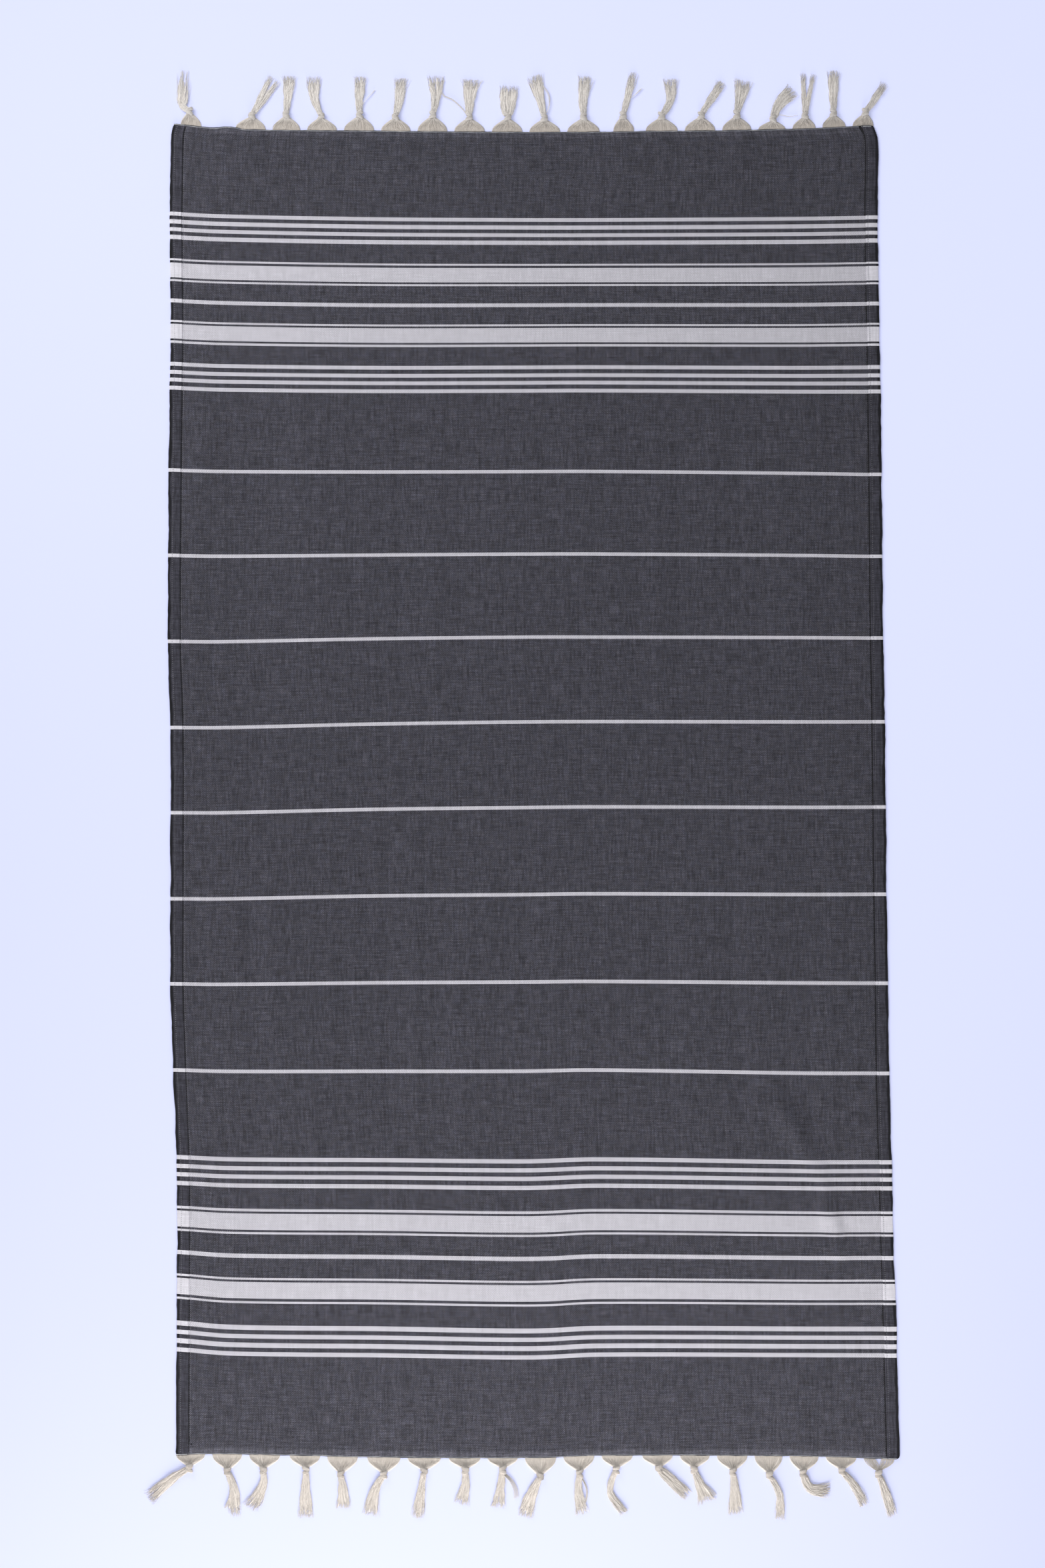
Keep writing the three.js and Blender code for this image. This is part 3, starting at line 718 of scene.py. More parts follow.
def stitchTree():
    values = {"Pitch": 0.0027, "Stitch Length": 0.0016, "Stitch Width": 0.0007, "Stitch Height": 0.0004,
              "Slant": 0.0, "Jitter": 0.15, "Seed": 5}
    tree, given, curve = newTree("stitchesAlongSeam", values)
    spots = put(tree, "GeometryNodeCurveToPoints", {"Curve": curve, "Length": given["Pitch"]}, mode="LENGTH")
    ball = put(tree, "GeometryNodeMeshUVSphere", {"Segments": 6, "Rings": 4, "Radius": 0.5}).outputs[0]
    sizes = {0: given["Stitch Width"], 1: given["Stitch Height"], 2: given["Stitch Length"]}
    size = put(tree, "ShaderNodeCombineXYZ", sizes).outputs[0]
    vary = put(tree, "FunctionNodeRandomValue", {"Seed": given["Seed"], 2: -1.0, 3: 1.0}, data_type="FLOAT")
    part = maths(tree, "MULTIPLY", vary.outputs[1], given["Jitter"])
    placed = put(tree, "GeometryNodeInstanceOnPoints", {
        "Points": spots.outputs["Points"], "Instance": ball, "Rotation": spots.outputs["Rotation"],
        "Scale": scaled(tree, size, maths(tree, "ADD", part, 1.0)),
    }).outputs[0]
    turn = put(tree, "ShaderNodeCombineXYZ", {1: given["Slant"]}).outputs[0]
    turned = put(tree, "GeometryNodeRotateInstances", {"Instances": placed, "Rotation": turn}).outputs[0]
    real = put(tree, "GeometryNodeRealizeInstances", {0: turned}).outputs[0]
    smooth = put(tree, "GeometryNodeSetShadeSmooth", {0: real}).outputs[0]
    return endTree(tree, smooth, given["Finish"])


yarnsAlongGuides = yarnTree()
stitchesAlongSeam = stitchTree()


def setValues(mesh, key, values):   # a number of its own for each point
    mesh.attributes.new(key, "FLOAT", "POINT").data.foreach_set("value", np.array(values, np.float32))


def guideObject(name, guides, values=None):   # guides: arrays of points in mm, values: name to an array each
    edges, first = [], 0
    for guide in guides:
        edges += [(first + i, first + i + 1) for i in range(len(guide) - 1)]
        first += len(guide)
    mesh = bpy.data.meshes.new(name)
    mesh.from_pydata((np.concatenate(guides) * mm).tolist(), edges, [])
    for key, arrays in (values or {}).items():
        setValues(mesh, key, np.concatenate(arrays))
    return linkObject(name, mesh)


def growOnGuides(piece, tree, settings):   # runs a tree on the guides and keeps its result as a plain mesh
    modifier = piece.modifiers.new("grow", "NODES")
    modifier.node_group = tree
    for item in tree.interface.items_tree:
        if item.item_type == "SOCKET" and item.in_out == "INPUT" and item.name in settings:
            modifier[item.identifier] = settings[item.name]
    bpy.context.view_layer.update()
    evaluated = piece.evaluated_get(bpy.context.evaluated_depsgraph_get())
    mesh = bpy.data.meshes.new_from_object(evaluated)
    piece.modifiers.remove(modifier)
    guides = piece.data
    mesh.name = piece.name
    piece.data = mesh
    bpy.data.meshes.remove(guides)
    return piece


# Fringe: every tassel is a fan of warp, an overhand knot and a frayed tail

fringeLook = dict(
    rootPitch=0.50, fanRadius=0.30, tailRadius=0.33, sides=3, wander=0.09, seed=41,
    rootLimit=22.0, rootSpace=4.5, rootTuck=0.4, fanLift=0.5, fanEdge=0.97,
    fanShare=[0, 1 / 3, 2 / 3, 1], fanWidth=[1, 0.91, 0.55, 0], fanPoints=8, neckHalf=3.4, fanLoose=0.5,
    fanSwirl=2.6, fanSteep=2.6,
    knotLength=11.5, knotMiddle=3.5, knotNeck=0.42, knotSpan=[-0.12, 0.26], neckDip=0.7, neckSpread=0.9,
    loops=[                      # the two turns of each knot, from start to end in half turns
        dict(yarns=20, start=-0.40, end=1.40, points=13, slope=0.34, offset=-2.1,
             wide=3.3, high=1.5, thick=1.7, long=2.7),
        dict(yarns=16, start=-0.20, end=1.20, points=11, slope=-0.40, offset=2.2,
             wide=3.1, high=1.5, thick=1.6, long=2.3),
    ],
    tailPoints=15, tailStart=0.13, tailRoot=7.9, tailFull=1.26, flare=1.4, bowPlace=0.45,
    locks=6, lockMix=0.8, lockWide=0.72, lockThin=1.15, lockHigh=(1.5, 0.85), lockLift=(2.1, 1.05),
    lockWeave=0.8, lockCurl=1.3, lockLength=(0.90, 1.07), lockRoot=2.6,
    turnEach=2.4, twist=(0.5, 2.4), kink=0.62, kinkTurns=(12, 26), frayed=0.20, tipSplay=1.5, tipFuzz=0.7,
    oddTails=[(0.05, -0.25), (0.12, 0.07)],      # the chance of a short or a long yarn, and by how much
    tipThickness=[0.9, 0.7, 0.35],
    paleness={1: 1.0, -1: 0.26},     # how far the tails of the top and bottom end go to the pale tone
    dulling={1: 0.85, -1: 0.0},      # how much duller the yarns of the top and bottom end are
)

# Loose yarns that stand out of a tassel, by its number: how many, and their points as sideways and
# outward offsets from the knot, in mm.
strayYarns = {
    "top": {
        5: (3, [(1, 6), (6, 18), (14, 27), (20, 34)]),
        7: (2, [(2, 10), (6, 24), (11, 38), (15, 50)]),
        8: (4, [(-4, 4), (-10, 12), (-22, 23), (-34, 29), (-37, 38), (-34, 50)]),
        10: (4, [(3, 6), (7, 18), (6, 32), (-2, 44), (-10, 52)]),
        12: (5, [(4, 12), (9, 22), (17, 29), (25, 37)]),
        16: (2, [(2, 4), (10, 6), (22, 4), (33, 6)]),
    },
    "bottom": {
        2: (7, [(5, 22), (4, 32), (1, 40), (-2, 48)]),
        5: (2, [(1, 8), (4, 20), (9, 30), (11, 38)]),
        9: (9, [(3, 6), (11, 14), (17, 26), (18, 37)]),
        11: (5, [(3, 6), (9, 19), (9, 32), (5, 43)]),
        14: (6, [(2, 6), (11, 17), (21, 26), (28, 34)]),
    },
}


def catmullRom(knots, t):   # a smooth curve through points, t from 0 to 1
    knots = np.asarray(knots, float)
    place = np.clip(np.asarray(t, float), 0, 1) * (len(knots) - 1)
    left = np.minimum(place.astype(int), len(knots) - 2)
    weight = (place - left)[..., None]
    p0, p1 = knots[np.maximum(left - 1, 0)], knots[left]
    p2, p3 = knots[left + 1], knots[np.minimum(left + 2, len(knots) - 1)]
    v0, v1 = (p2 - p0) / 2, (p3 - p1) / 2
    return ((2 * p1 - 2 * p2 + v0 + v1) * weight ** 3 + (-3 * p1 + 3 * p2 - 2 * v0 - v1) * weight ** 2
            + v0 * weight + p1)


def endLine(end):   # the two ends of a cloth end's edge across, and its place along at any x
    across = np.linspace(-lay["width"] / 2, lay["width"] / 2, 400)
    line = clothPoints(across, end * halfLength)
    return line[[0, -1], 0], lambda x: np.interp(x, line[:, 0], line[:, 1])


def rootReaches(tassels, index, end, limits):   # how far each side of the knot a fan spreads along the edge
    look = fringeLook
    own = tassels[index]["at"]
    reaches = []
    for step, limit in zip((-end, end), tassels[index].get("fan", (look["rootLimit"], look["rootLimit"]))):
        other = index + step
        if 0 <= other < len(tassels):
            room = abs(tassels[other]["at"] - own) / 2 - look["rootSpace"]
        else:
            room = abs(limits[1 if step > 0 else 0] - own)
        reaches.append(min(limit, room))
    return reaches


def tailPath(row, end, t):   # the tail's middle line, and its direction, as sideways and outward
    knotSpot = np.array([0.0, row["drop"]])
    tip = np.array([end * row["lean"], row["reach"]], float)
    run = tip - knotSpot
    aside = np.array([run[1], -run[0]]) / np.hypot(*run) * end * row["sway"]
    bends = [knotSpot + run * fringeLook["bowPlace"] + aside]
    if "via" in row:
        bends = [knotSpot + [end * x, y] for x, y in row["via"]]
    knots = [knotSpot] + bends + [tip]
    ahead = catmullRom(knots, np.minimum(t + 0.01, 1)) - catmullRom(knots, np.maximum(t - 0.01, 0))
    return catmullRom(knots, t), ahead / np.linalg.norm(ahead, axis=-1, keepdims=True)


def between(pair, t):
    return pair[0] + (pair[1] - pair[0]) * t


def tasselMaker(row, end, seed):   # the tassel's own random numbers
    return np.random.default_rng(int(2000 + row["at"] + 3000 * end) + seed)


def tailLocks(row, end):   # the tail parts into locks; each gives its offset, height and half sizes along t
    look = fringeLook
    maker = tasselMaker(row, end, 7000)
    count = look["locks"]
    order = np.argsort(np.argsort(np.arange(count) + maker.normal(0, look["lockMix"], count)))
    phase = maker.uniform(0, 2 * np.pi, count)
    speed = maker.uniform(3.5, 6.0, count)
    stretch = maker.uniform(*look["lockLength"], count)

    def shapeOf(lock, t):
        first, last = (np.array([lock, order[lock]]) + 0.5) / count * 2 - 1
        mix = np.clip(t / 0.75, 0, 1)
        mix = mix ** 2 * (3 - 2 * mix)
        full = row["spread"] * look["tailFull"]
        width = look["tailRoot"] + (full - look["tailRoot"]) * t ** row.get("flare", look["flare"])
        halfWide = np.maximum(width / count * look["lockWide"], look["lockThin"])
        share = first + (last - first) * mix
        curl = look["lockCurl"] * t * np.sin(speed[lock] * t + phase[lock])
        offset = share * (width / 2 - halfWide) + curl
        offset = offset + math.copysign(row.get("fork", 0), last) * 0.5 * t ** 2
        halfHigh = between(look["lockHigh"], t)
        weave = (1 + np.sin(speed[lock] * t + look["turnEach"] * lock + phase[0])) / 2
        high = between(look["lockLift"], t) + look["lockWeave"] * (1 - 0.6 * t) * weave
        high = high + (look["knotMiddle"] - look["lockRoot"]) * np.clip(1 - t / 0.3, 0, 1) ** 2
        return offset, np.maximum(high, halfHigh + 0.15), halfWide, halfHigh

    return shapeOf, stretch


def knotLoops(row, end):   # each loop's middle line and its two half sizes, as sideways, outward and up
    look = fringeLook
    maker = tasselMaker(row, end, 9000)
    hand = maker.choice([-1, 1])
    loops = []
    for loop in look["loops"]:
        turn = np.linspace(loop["start"], loop["end"], loop["points"]) * np.pi
        slope = hand * loop["slope"] * maker.uniform(0.5, 1.4)
        side = np.cos(turn) * loop["wide"]
        out = row["drop"] + loop["offset"] * maker.uniform(0.8, 1.2) + slope * side
        middle = np.stack([side, out, look["knotMiddle"] + np.sin(turn) * loop["high"]], axis=-1)
        swell = (1 + 0.12 * np.sin(turn + maker.uniform(0, 6)))[:, None] * maker.uniform(0.92, 1.08)
        radial = np.stack([np.cos(turn), 0 * turn, np.sin(turn)], axis=-1) * loop["thick"] * swell
        axial = np.stack([-0.35 * slope * np.cos(turn), 1 + 0 * turn, 0 * turn], axis=-1)
        axial = axial * loop["long"] * swell
        loops.append((middle, radial, axial, loop["yarns"]))
    return loops


def tasselYarns(row, end, edgeY, reaches, strays, maker, made):   # adds one tassel's yarns to made
    look = fringeLook
    edge = edgeY(row["at"])
    pale = look["paleness"][end]

    def place(sideways, outward, height):
        return np.stack([row["at"] + end * sideways, edge + end * outward, height], axis=-1) + shift

    def keep(points, **values):   # one yarn with its tone, thickness and looseness
        made["guides"].append(points)
        values["strand"] = maker.uniform() - look["dulling"][end]
        for key, value in values.items():
            made[key].append(np.broadcast_to(value, len(points)))

    fanT = np.linspace(0, 1, look["fanPoints"])
    fanW = smoothThrough(look["fanShare"], look["fanWidth"], fanT)
    neck = row["drop"] - look["knotLength"] * look["knotNeck"]
    lockShape, lockStretch = tailLocks(row, end)
    swirl = look["fanSwirl"] * maker.uniform(-1, 1)
    twist = maker.uniform(*look["twist"], look["locks"]) * maker.choice([-1, 1], look["locks"])
    roots = np.linspace(-reaches[0], reaches[1], int(round(sum(reaches) / look["rootPitch"])))
    for number, root in enumerate(roots):
        reach = reaches[0] if root < 0 else reaches[1]
        share = root / reach
        level = maker.uniform(-1, 1) * math.sqrt(1 - 0.9 * share ** 2)
        side = share * (look["neckHalf"] + (reach - look["neckHalf"]) * fanW) * look["fanEdge"]
        side = side + swirl * (1 - share ** 2) * np.sin(np.pi * fanT) ** 1.5
        if "open" in row:
            parted = math.copysign(row["open"] * (1 - abs(share)), share)
            side = side + parted * np.clip(1 - fanT / 0.75, 0, 1)
        side = side + maker.normal(0, look["fanLoose"]) * np.sin(np.pi * fanT) ** 2
        rootY = end * (edgeY(row["at"] + end * root) - edge) - look["rootTuck"]
        out = rootY * (1 - fanT) + neck * fanT
        neckHigh = look["knotMiddle"] - look["neckDip"] + level * look["neckSpread"]
        high = look["fanRadius"] + look["fanLift"] + neckHigh * fanT ** look["fanSteep"]
        high = high + 0.15 * (level + 1) * np.sin(np.pi * fanT)
        fan = place(side, out, high)

        knotOut = row["drop"] + np.array(look["knotSpan"]) * look["knotLength"]
        knotHigh = look["knotMiddle"] + level * np.array([1.0, 0.6])
        middle = place(np.full(2, share * look["neckHalf"] * 0.8), knotOut, knotHigh)

        lock = int(np.clip((share + 1) / 2 * look["locks"], 0, look["locks"] - 1))
        fray = 1 - look["frayed"] * maker.uniform() ** 1.7
        for chance, change in look["oddTails"]:
            if maker.uniform() < chance:
                fray = fray + change
        t = np.linspace(look["tailStart"], 1, look["tailPoints"]) * fray * lockStretch[lock]
        offset, high, halfWide, halfHigh = lockShape(lock, t)
        angle = look["turnEach"] * number + twist[lock] * t + maker.normal(0, 0.2)
        fill = 0.85 + 0.2 * maker.uniform()
        offset = offset + halfWide * fill * np.cos(angle)
        high = high + halfHigh * fill * np.sin(angle)
        wave = maker.uniform(*look["kinkTurns"]) * t + maker.uniform(0, 6)
        offset = offset + look["kink"] * np.sin(wave) * np.minimum(1, 2.5 * t)
        offset = offset + maker.normal(0, look["tipSplay"]) * t ** 3.5
        offset = offset + maker.normal(0, look["tipFuzz"]) * t ** 12
        spot, ahead = tailPath(row, end, t)
        high = np.maximum(high, look["tailRadius"] + 0.05)
        tail = place(spot[:, 0] + ahead[:, 1] * offset, spot[:, 1] - ahead[:, 0] * offset, high)

        size = look["tailRadius"] / look["fanRadius"]
        thick = np.concatenate([np.full(len(fan), 1.0), [1.05, 1.05], size * (1 + 0.08 * t)])
        thick[-3:] = look["tipThickness"]
        # tone stays low in the fan, painting its shade, and rises through the knot to the pale tail
        keep(np.concatenate([fan, middle, tail]), thick=thick,
             tone=np.concatenate([0.6 * fanT ** 3, [0.6, 0.75], np.linspace(0.8, 1, len(tail))]) * pale,
             loose=np.concatenate([np.full(len(fan), 0.5), [0, 0], 0.5 + t]))

    # the overhand knot: two turns of the bundle that cross over the neck
    for middle, radial, axial, yarns in knotLoops(row, end):
        lean = maker.uniform(-0.5, 0.5)
        for yarn in range(yarns):
            angle = 2 * np.pi * yarn / yarns + lean * np.linspace(0, 1, len(middle))
            points = middle + radial * np.cos(angle)[:, None] + axial * np.sin(angle)[:, None]
            points = place(points[:, 0], points[:, 1], np.maximum(points[:, 2], look["fanRadius"] + 0.12))
            keep(points, tone=0.7 * pale, thick=1.2, loose=0.6)

    if strays:
        count, route = strays
        route = np.array(route, float) * [end, 1] + [0, row["drop"]]
        t = np.linspace(0, 1, 4 * len(route))
        spot = catmullRom(route, t)
        for yarn in range(count):
            off = (yarn - (count - 1) / 2) * 0.6
            side = spot[:, 0] + off * (0.4 + 0.9 * t)
            high = look["fanRadius"] + look["fanLift"] + 1.8 * (1 - t) + 0.2 * yarn
            points = place(side, spot[:, 1] + off * 0.5, high)
            keep(points, tone=0.95 * pale, thick=1.0, loose=0.3 + 0.5 * t)


def makeFringe(name, end, tassels, picked, seed):
    look = fringeLook
    limits, edgeY = endLine(end)
    maker = np.random.default_rng(seed)
    made = dict(guides=[], tone=[], thick=[], loose=[], strand=[])
    label = "top" if end > 0 else "bottom"
    for index in picked:
        reaches = rootReaches(tassels, index, end, limits)
        strays = strayYarns[label].get(index + 1)
        tasselYarns(tassels[index], end, edgeY, reaches, strays, maker, made)
    piece = guideObject(name, made.pop("guides"), made)
    settings = {"Yarn Radius": look["fanRadius"] * mm, "Sides": look["sides"], "Wander": look["wander"] * mm,
                "Seed": look["seed"], "Finish": warpYarnFinish}
    growOnGuides(piece, yarnsAlongGuides, settings)
    shadeSmooth(piece)
    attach(piece, "root")
    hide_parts(*[f"tassel_{label}_{index + 1:02d}" for index in picked])
    return piece


underLook = dict(   # what fills the tassels under their yarns: a sheet in the fan, cores in locks and knots
    sheetColumns=9, sheetRows=7, sheetHeight=0.88, coreFill=0.88, knotFill=1.08, coreSides=8, coreRings=12,
    coreStart=0.04, coreEnd=0.86, strand=0.6,
)


def tubeAround(middle, sideAxis, upAxis, first):   # a closed tube of rings, as points and faces
    sides = underLook["coreSides"]
    angles = (np.arange(sides) * 2 * np.pi / sides)[:, None]
    rings = middle[:, None] + sideAxis[:, None] * np.cos(angles) + upAxis[:, None] * np.sin(angles)
    index = first + np.arange(len(middle) * sides).reshape(-1, sides)
    caps = [index[0].tolist()[::-1], index[-1].tolist()]
    return rings.reshape(-1, 3), ringFaces(index).tolist() + caps


def fanSheet(row, end, edgeY, reaches, first):   # a closed sheet just under the yarns of one fan
    look = fringeLook
    shares = np.linspace(-1, 1, underLook["sheetColumns"])
    rowT = np.linspace(0, 1, underLook["sheetRows"])
    widths = smoothThrough(look["fanShare"], look["fanWidth"], rowT)
    edge = edgeY(row["at"])
    reach = np.where(shares < 0, reaches[0], reaches[1])
    rootY = end * (edgeY(row["at"] + end * shares * reach) - edge) - 0.2
    face, under = [], []
    for t, width in zip(rowT, widths):
        side = shares * (look["neckHalf"] + (reach - look["neckHalf"]) * width)
        out = rootY * (1 - t) + (row["drop"] - 2.5) * t
        high = underLook["sheetHeight"] + (look["knotMiddle"] - 0.9) * t ** look["fanSteep"]
        high = high - 0.2 * shares ** 2 * t
        spot = np.stack([row["at"] + end * side, edge + end * out, high], axis=-1) + shift
        face.append(spot)
        under.append(spot * [1, 1, 0] + [0, 0, 0.05 + 0.9 * t ** 2])
    # the sheet's tone paints the fan's shade, darkest at the root
    tones = np.tile(np.repeat(0.6 * rowT, len(shares)), 2)
    return np.concatenate(face + under), shellFaces(len(rowT), len(shares), first), tones


def makeUnderlay(name, end, tassels):
    limits, edgeY = endLine(end)
    pale = fringeLook["paleness"][end]
    points, faces, tones = [], [], []

    def add(morePoints, moreFaces, tone):   # tone: one for all the points, or one for each
        points.extend(morePoints)
        faces.extend(moreFaces)
        tones.extend(np.broadcast_to(tone, len(morePoints)))

    for index, row in enumerate(tassels):
        if "open" not in row:
            add(*fanSheet(row, end, edgeY, rootReaches(tassels, index, end, limits), len(points)))
        origin = np.array([row["at"], edgeY(row["at"]), 0.0]) + shift
        turned = np.array([end, end, 1.0])
        lockShape, lockStretch = tailLocks(row, end)
        for lock in range(fringeLook["locks"]):
            coreEnd = underLook["coreEnd"] * lockStretch[lock]
            t = np.linspace(underLook["coreStart"], coreEnd, underLook["coreRings"])
            offset, high, halfWide, halfHigh = lockShape(lock, t)
            spot, ahead = tailPath(row, end, t)
            taper = np.clip((t[-1] * 1.06 - t) / 0.25, 0.2, 1) * underLook["coreFill"]
            across = np.stack([ahead[:, 1], -ahead[:, 0], 0 * t], axis=-1)
            middle = np.stack([spot[:, 0], spot[:, 1], high], axis=-1) + across * offset[:, None]
            up = np.stack([0 * t, 0 * t, halfHigh * taper], axis=-1)
            side = across * (halfWide * taper)[:, None]
            add(*tubeAround(origin + middle * turned, side * turned, up, len(points)), pale)
        fill = underLook["coreFill"] * underLook["knotFill"]
        for middle, radial, axial, _ in knotLoops(row, end):
            side, up = radial * turned * fill, axial * turned * fill
            add(*tubeAround(origin + middle * turned, side, up, len(points)), 0.9 * pale)
    piece = meshObject(name, points, faces, fanSheetFinish)
    faceOutward(piece)
    setValues(piece.data, "tone", tones)
    setValues(piece.data, "strand", np.full(len(tones), underLook["strand"] - fringeLook["dulling"][end]))
    shadeSmooth(piece)
    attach(piece, "root")
    return piece


fringes = [
    makeFringe("fringeTopLeft", 1, topTassels, range(0, 10), 101),
    makeFringe("fringeTopRight", 1, topTassels, range(10, 19), 102),
    makeFringe("fringeBottomLeft", -1, bottomTassels, range(0, 10), 103),
    makeFringe("fringeBottomRight", -1, bottomTassels, range(10, 19), 104),
    makeUnderlay("underYarnsTop", 1, topTassels),
    makeUnderlay("underYarnsBottom", -1, bottomTassels),
]
print("stage 5: fringes,", sum(len(piece.data.polygons) for piece in fringes), "faces")


# Last picks: the pale and the dark cord that close the weave at each end

pickLook = dict(
    step=3.4, wave=0.22, sides=6, wander=0.1, endInset=0.8, hemWide=15.5, hemRise=1.5,
    cords=[
        dict(name="palePick", radius=0.48, inset=0.8, rise=1.2, finish=palePickFinish, seed=7),
        dict(name="darkPick", radius=0.42, inset=-0.1, rise=0.95, finish=darkPickFinish, seed=8),
    ],
)


def makeLastPick(cord, label, end):
    look = pickLook
    maker = np.random.default_rng(cord["seed"])
    half = lay["width"] / 2 - look["endInset"]
    across = np.arange(-half, half, look["step"])
    line = clothPoints(across, end * (halfLength - cord["inset"])) + shift
    count = len(line)
    line[:, 1] += evened(maker.normal(0, 1, count + 4), 5, 3) * look["wave"]
    onHem = np.clip((np.abs(across) - (half - look["hemWide"])) / 2.0, 0, 1) * look["hemRise"]
    line[:, 2] += cord["rise"] + onHem
    bright = np.clip(evened(maker.normal(0, 1, count + 2), 3, 2), -0.4, 1.5) * 0.35 + 0.3
    bright = bright + 0.5 * np.clip(onHem, 0, 1)
    thin = 1 - 0.3 * maker.uniform(0, 1, count)
    values = dict(tone=[bright], thick=[thin], loose=[np.full(count, 0.4)], strand=[np.full(count, 0.6)])
    piece = guideObject(cord["name"] + label, [line], values)
    settings = {"Yarn Radius": cord["radius"] * mm, "Sides": look["sides"], "Wander": look["wander"] * mm,
                "Seed": cord["seed"], "Finish": cord["finish"]}
    growOnGuides(piece, yarnsAlongGuides, settings)
    shadeSmooth(piece)
    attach(piece, "root")
    return piece


lastPicks = [makeLastPick(cord, label, end) for label, end in (("Top", 1), ("Bottom", -1))
             for cord in pickLook["cords"]]
print("stage 6: last picks")


# Hem stitches

stitchLook = dict(
    light=linear(132, 131, 138), dark=linear(22, 21, 27), step=5.8, clear=1.7, endClear=4,
    thickness=0.5, slant=0.35, jitter=0.2, seed=31,
    rows=[                       # hem side, inset from the outer edge, height over the floor, and sizes
        dict(kind="seam", side="Left", inset=6.0, height=2.86, pitch=2.65, length=1.1, width=0.75),
        dict(kind="seam", side="Right", inset=13.0, height=2.40, pitch=2.65, length=1.1, width=0.75),
        dict(kind="panel", side="Left", inset=18.5, height=1.32, pitch=2.65, length=1.0, width=0.7),
        # tack rows: dark stitches, wide and close enough to run into a line, standing for the seam's thread
        # and its painted shadow
        dict(kind="tack", side="Left", inset=16.5, height=1.75, pitch=2.9, length=2.8, width=2.0),
        dict(kind="tack", side="Right", inset=16.8, height=1.75, pitch=2.9, length=3.2, width=3.2),
    ],
)
lightThread = plainMaterial("lightThread", stitchLook["light"], 0.85)
# the dark thread's finish also colours the painted fold shadows
darkThreadAndShadow = plainMaterial("darkThreadAndShadow", stitchLook["dark"], 0.9)


def stripePlaces():   # the white stripes' middles and half widths, from the bottom end up
    places = [((number + 0.5) * draft["lonePitch"], draft["loneHalf"]) for number in range(4)]
    for place in draft["fourPlaces"]:
        places += [(place + (number - 1.5) * draft["fourPitch"], draft["fourHalf"]) for number in range(4)]
    for place in draft["bandPlaces"]:
        places += [(place + side * draft["thinOffset"], draft["thinHalf"]) for side in (-1, 1)]
        places.append((place, draft["bandHalf"]))
    places.append((draft["singlePlace"], draft["singleHalf"]))
    return sorted((side * place, half) for place, half in places for side in (-1, 1))


def seamStretches(row):   # the dark stitches stop short of each white stripe
    first, last = stitchLook["endClear"] - halfLength, halfLength - stitchLook["endClear"]
    if row["kind"] != "tack":
        return [(first, last)]
    stretches = []
    for place, half in stripePlaces():
        stretches.append((first, place - half - stitchLook["clear"]))
        first = place + half + stitchLook["clear"]
    stretches.append((first, last))
    return [(low, high) for low, high in stretches if high - low > row["pitch"]]


def makeStitches(row, seed):
    look = stitchLook
    isTackAndSeamShade = row["kind"] == "tack"      # long dark stitches that lean
    across = (lay["width"] / 2 - row["inset"]) * (1 if row["side"] == "Right" else -1)
    guides = []
    for low, high in seamStretches(row):
        picks = np.linspace(low, high, max(2, int((high - low) / look["step"])))
        guides.append(clothPoints(across, picks) + shift + [0, 0, row["height"]])
    piece = guideObject(row["kind"] + "Stitches" + row["side"], guides)
    settings = {"Pitch": row["pitch"] * mm, "Stitch Length": row["length"] * mm,
                "Stitch Width": row["width"] * mm, "Stitch Height": look["thickness"] * mm,
                "Slant": look["slant"] if isTackAndSeamShade else 0.0, "Jitter": look["jitter"], "Seed": seed,
                "Finish": darkThreadAndShadow if isTackAndSeamShade else lightThread}
    growOnGuides(piece, stitchesAlongSeam, settings)
    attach(piece, "root")
    return piece


stitches = [makeStitches(row, stitchLook["seed"] + number) for number, row in enumerate(stitchLook["rows"])]

# Painted shadows: small dark wedges beside the hems' ends, standing for the shade inside the fold where the
# hem lifts; outlines as places across and picks, counter-clockwise
foldShadowLook = dict(
    low=1.1, high=1.6,
    outlines=[
        [(456.2, 872.6), (458.6, 882.3), (453.4, 882.3), (454.6, 877.4)],
        [(-458.8, -861.5), (-456.4, -866.8), (-457.6, -857.8), (-458.6, -856.2)],
        [(-458.6, -868.0), (-457.2, -869.2), (-457.4, -864.4), (-458.7, -863.9)],
        [(-455.6, -870.4), (-453.8, -870.6), (-454.2, -868.6), (-455.8, -868.8)],
    ],
)


def makeFoldShadows():
    points, faces = [], []
    for outline in foldShadowLook["outlines"]:
        first, count = len(points), len(outline)
        across, pick = np.transpose(outline)
        spots = clothPoints(across, pick) + shift
        points += list(spots + [0, 0, foldShadowLook["high"]]) + list(spots + [0, 0, foldShadowLook["low"]])
        top = list(range(first, first + count))
        under = [i + count for i in top]
        faces += [top, under[::-1]]
        for a, b in zip(range(count), list(range(1, count)) + [0]):
            faces.append([top[a], under[a], under[b], top[b]])
    piece = meshObject("paintedFoldShadows", points, faces, darkThreadAndShadow)
    faceOutward(piece)
    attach(piece, "root")
    return piece


stitches.append(makeFoldShadows())
print("stage 7: stitches")


# Floor, light and camera

stageLook = dict(
    floor=(0.56, 0.585, 0.77), glow=(0.20, 0.215, 0.33), glowStrength=1.0, floorSize=14.0, roughness=0.9,
    even=dict(middle=1.084, y=0.096, yy=-0.125, x=0.16, xy=0.20, limit=1.2),   # evens out the lamps
)


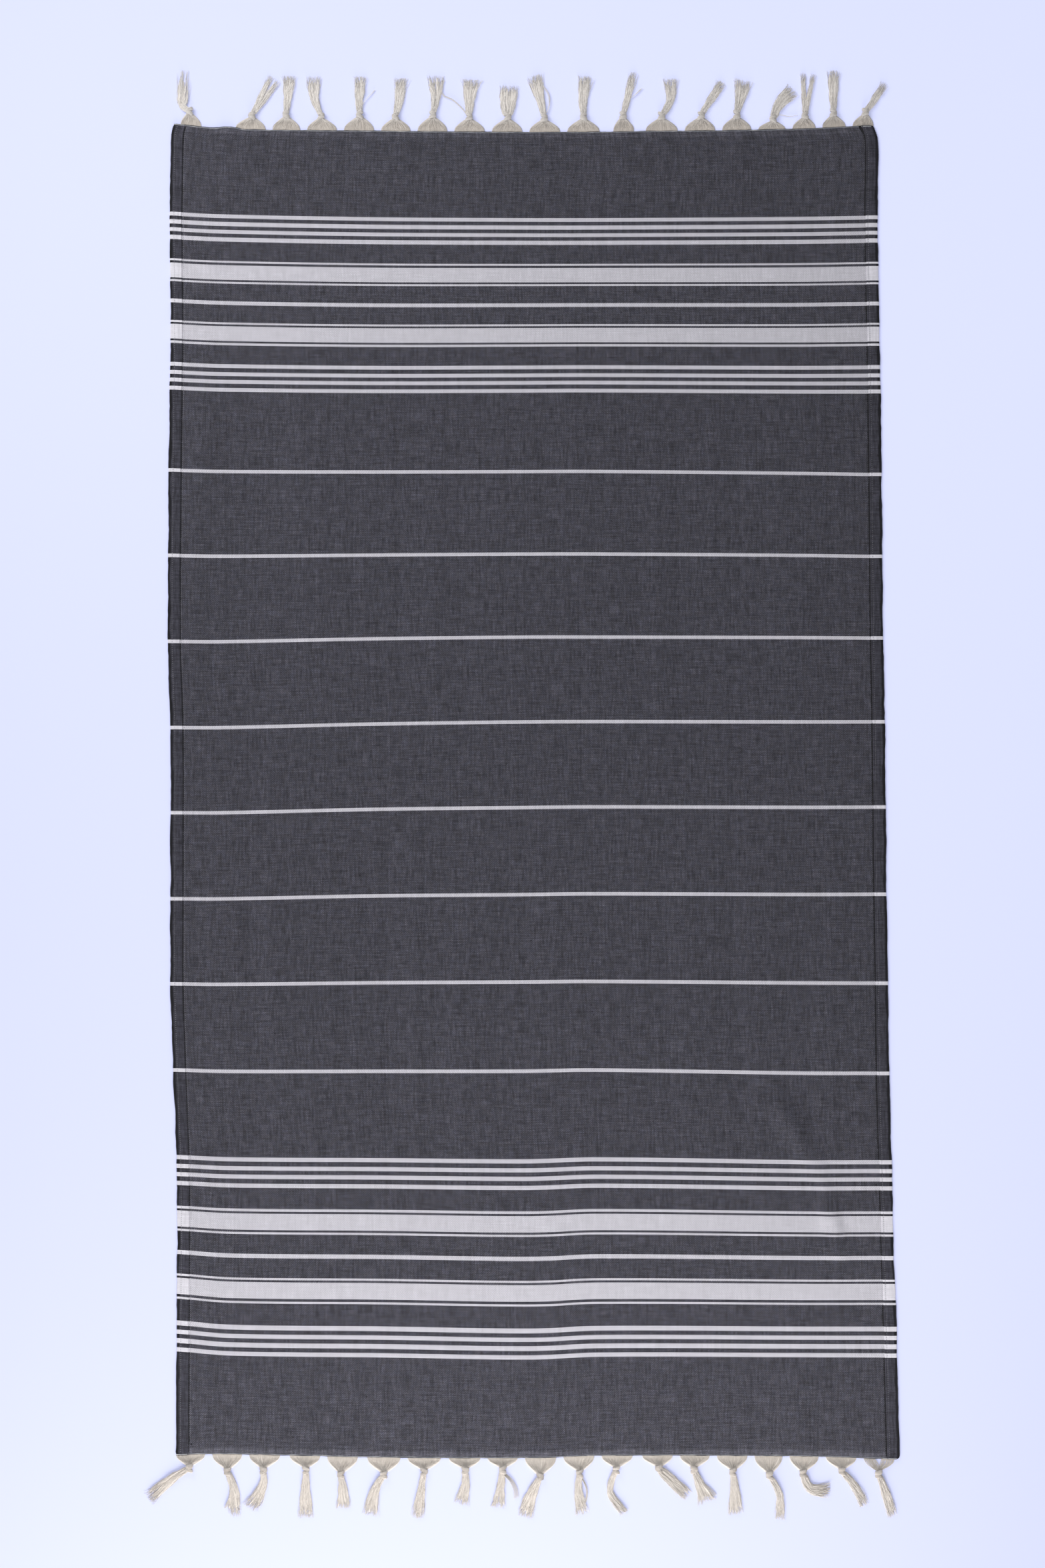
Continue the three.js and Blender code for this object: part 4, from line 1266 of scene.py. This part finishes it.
def makeFloorFinish():
    look, even = stageLook, stageLook["even"]
    material = newMaterial("paleFloor")
    tree = material.node_tree
    place = put(tree, "ShaderNodeSeparateXYZ", {0: put(tree, "ShaderNodeTexCoord").outputs["Object"]})
    limits = (-even["limit"], even["limit"], -even["limit"], even["limit"])
    x = ramp(tree, place.outputs[0], *limits)
    y = ramp(tree, place.outputs[1], *limits)
    slopeX = maths(tree, "MULTIPLY_ADD", y, even["xy"], even["x"])
    slopeY = maths(tree, "MULTIPLY_ADD", y, even["yy"], even["y"])
    tone = maths(tree, "MULTIPLY_ADD", y, slopeY, even["middle"])
    tone = maths(tree, "MULTIPLY_ADD", x, slopeX, tone)
    shader = put(tree, "ShaderNodeBsdfPrincipled", {
        "Base Color": scaled(tree, look["floor"], tone), "Roughness": look["roughness"],
        "Emission Color": (*look["glow"], 1.0), "Emission Strength": look["glowStrength"],
    })
    put(tree, "ShaderNodeOutputMaterial", {0: shader.outputs[0]})
    return material


half = stageLook["floorSize"] / 2
floorMesh = bpy.data.meshes.new("floor")
floorCorners = [(-half, -half, 0), (half, -half, 0), (half, half, 0), (-half, half, 0)]
floorMesh.from_pydata(floorCorners, [], [(0, 1, 2, 3)])
floorMesh.materials.append(makeFloorFinish())
floor = linkObject("floor", floorMesh)

lightLook = dict(
    sky=(0.95, 0.97, 1.0), skyStrength=0.42,
    lamps=[
        dict(name="lowLamp", place=(-0.1, -2.2, 0.85), size=1.4, power=46.0, colour=(1.0, 0.99, 0.98)),
        dict(name="sideLamp", place=(-1.3, 1.55, 1.35), size=1.4, power=30.0, colour=(1.0, 1.0, 1.0)),
    ],
)
world = bpy.data.worlds.new("studio")
bpy.context.scene.world = world
world.use_nodes = True
background = world.node_tree.nodes["Background"]
background.inputs[0].default_value = (*lightLook["sky"], 1.0)
background.inputs[1].default_value = lightLook["skyStrength"]
for row in lightLook["lamps"]:
    lampData = bpy.data.lights.new(row["name"], "AREA")
    lampData.shape = "SQUARE"
    lampData.size = row["size"]
    lampData.energy = row["power"]
    lampData.color = row["colour"]
    lamp = linkObject(row["name"], lampData)
    lamp.location = row["place"]
    lamp.rotation_mode = "QUATERNION"
    lamp.rotation_quaternion = (-Vector(row["place"])).to_track_quat("-Z", "Y")

viewLook = dict(lens=50.0, sensor=36.0, distance=2894.9, tilt=2.3, aimUp=2.0)   # mm, degrees from above
cameraData = bpy.data.cameras.new("camera")
cameraData.lens = viewLook["lens"]
cameraData.sensor_width = viewLook["sensor"]
camera = linkObject("camera", cameraData)
tilt = math.radians(viewLook["tilt"])
aim = Vector((shift[0] * mm, (shift[1] + viewLook["aimUp"]) * mm, 0.0))     # the photo's middle on the floor
reach = viewLook["distance"] * mm
camera.location = aim + Vector((0.0, -reach * math.sin(tilt), reach * math.cos(tilt)))
camera.rotation_euler = (tilt, 0.0, 0.0)
bpy.context.scene.camera = camera
bpy.context.scene.view_settings.view_transform = "Standard"
print("stage 8: floor, light and camera")
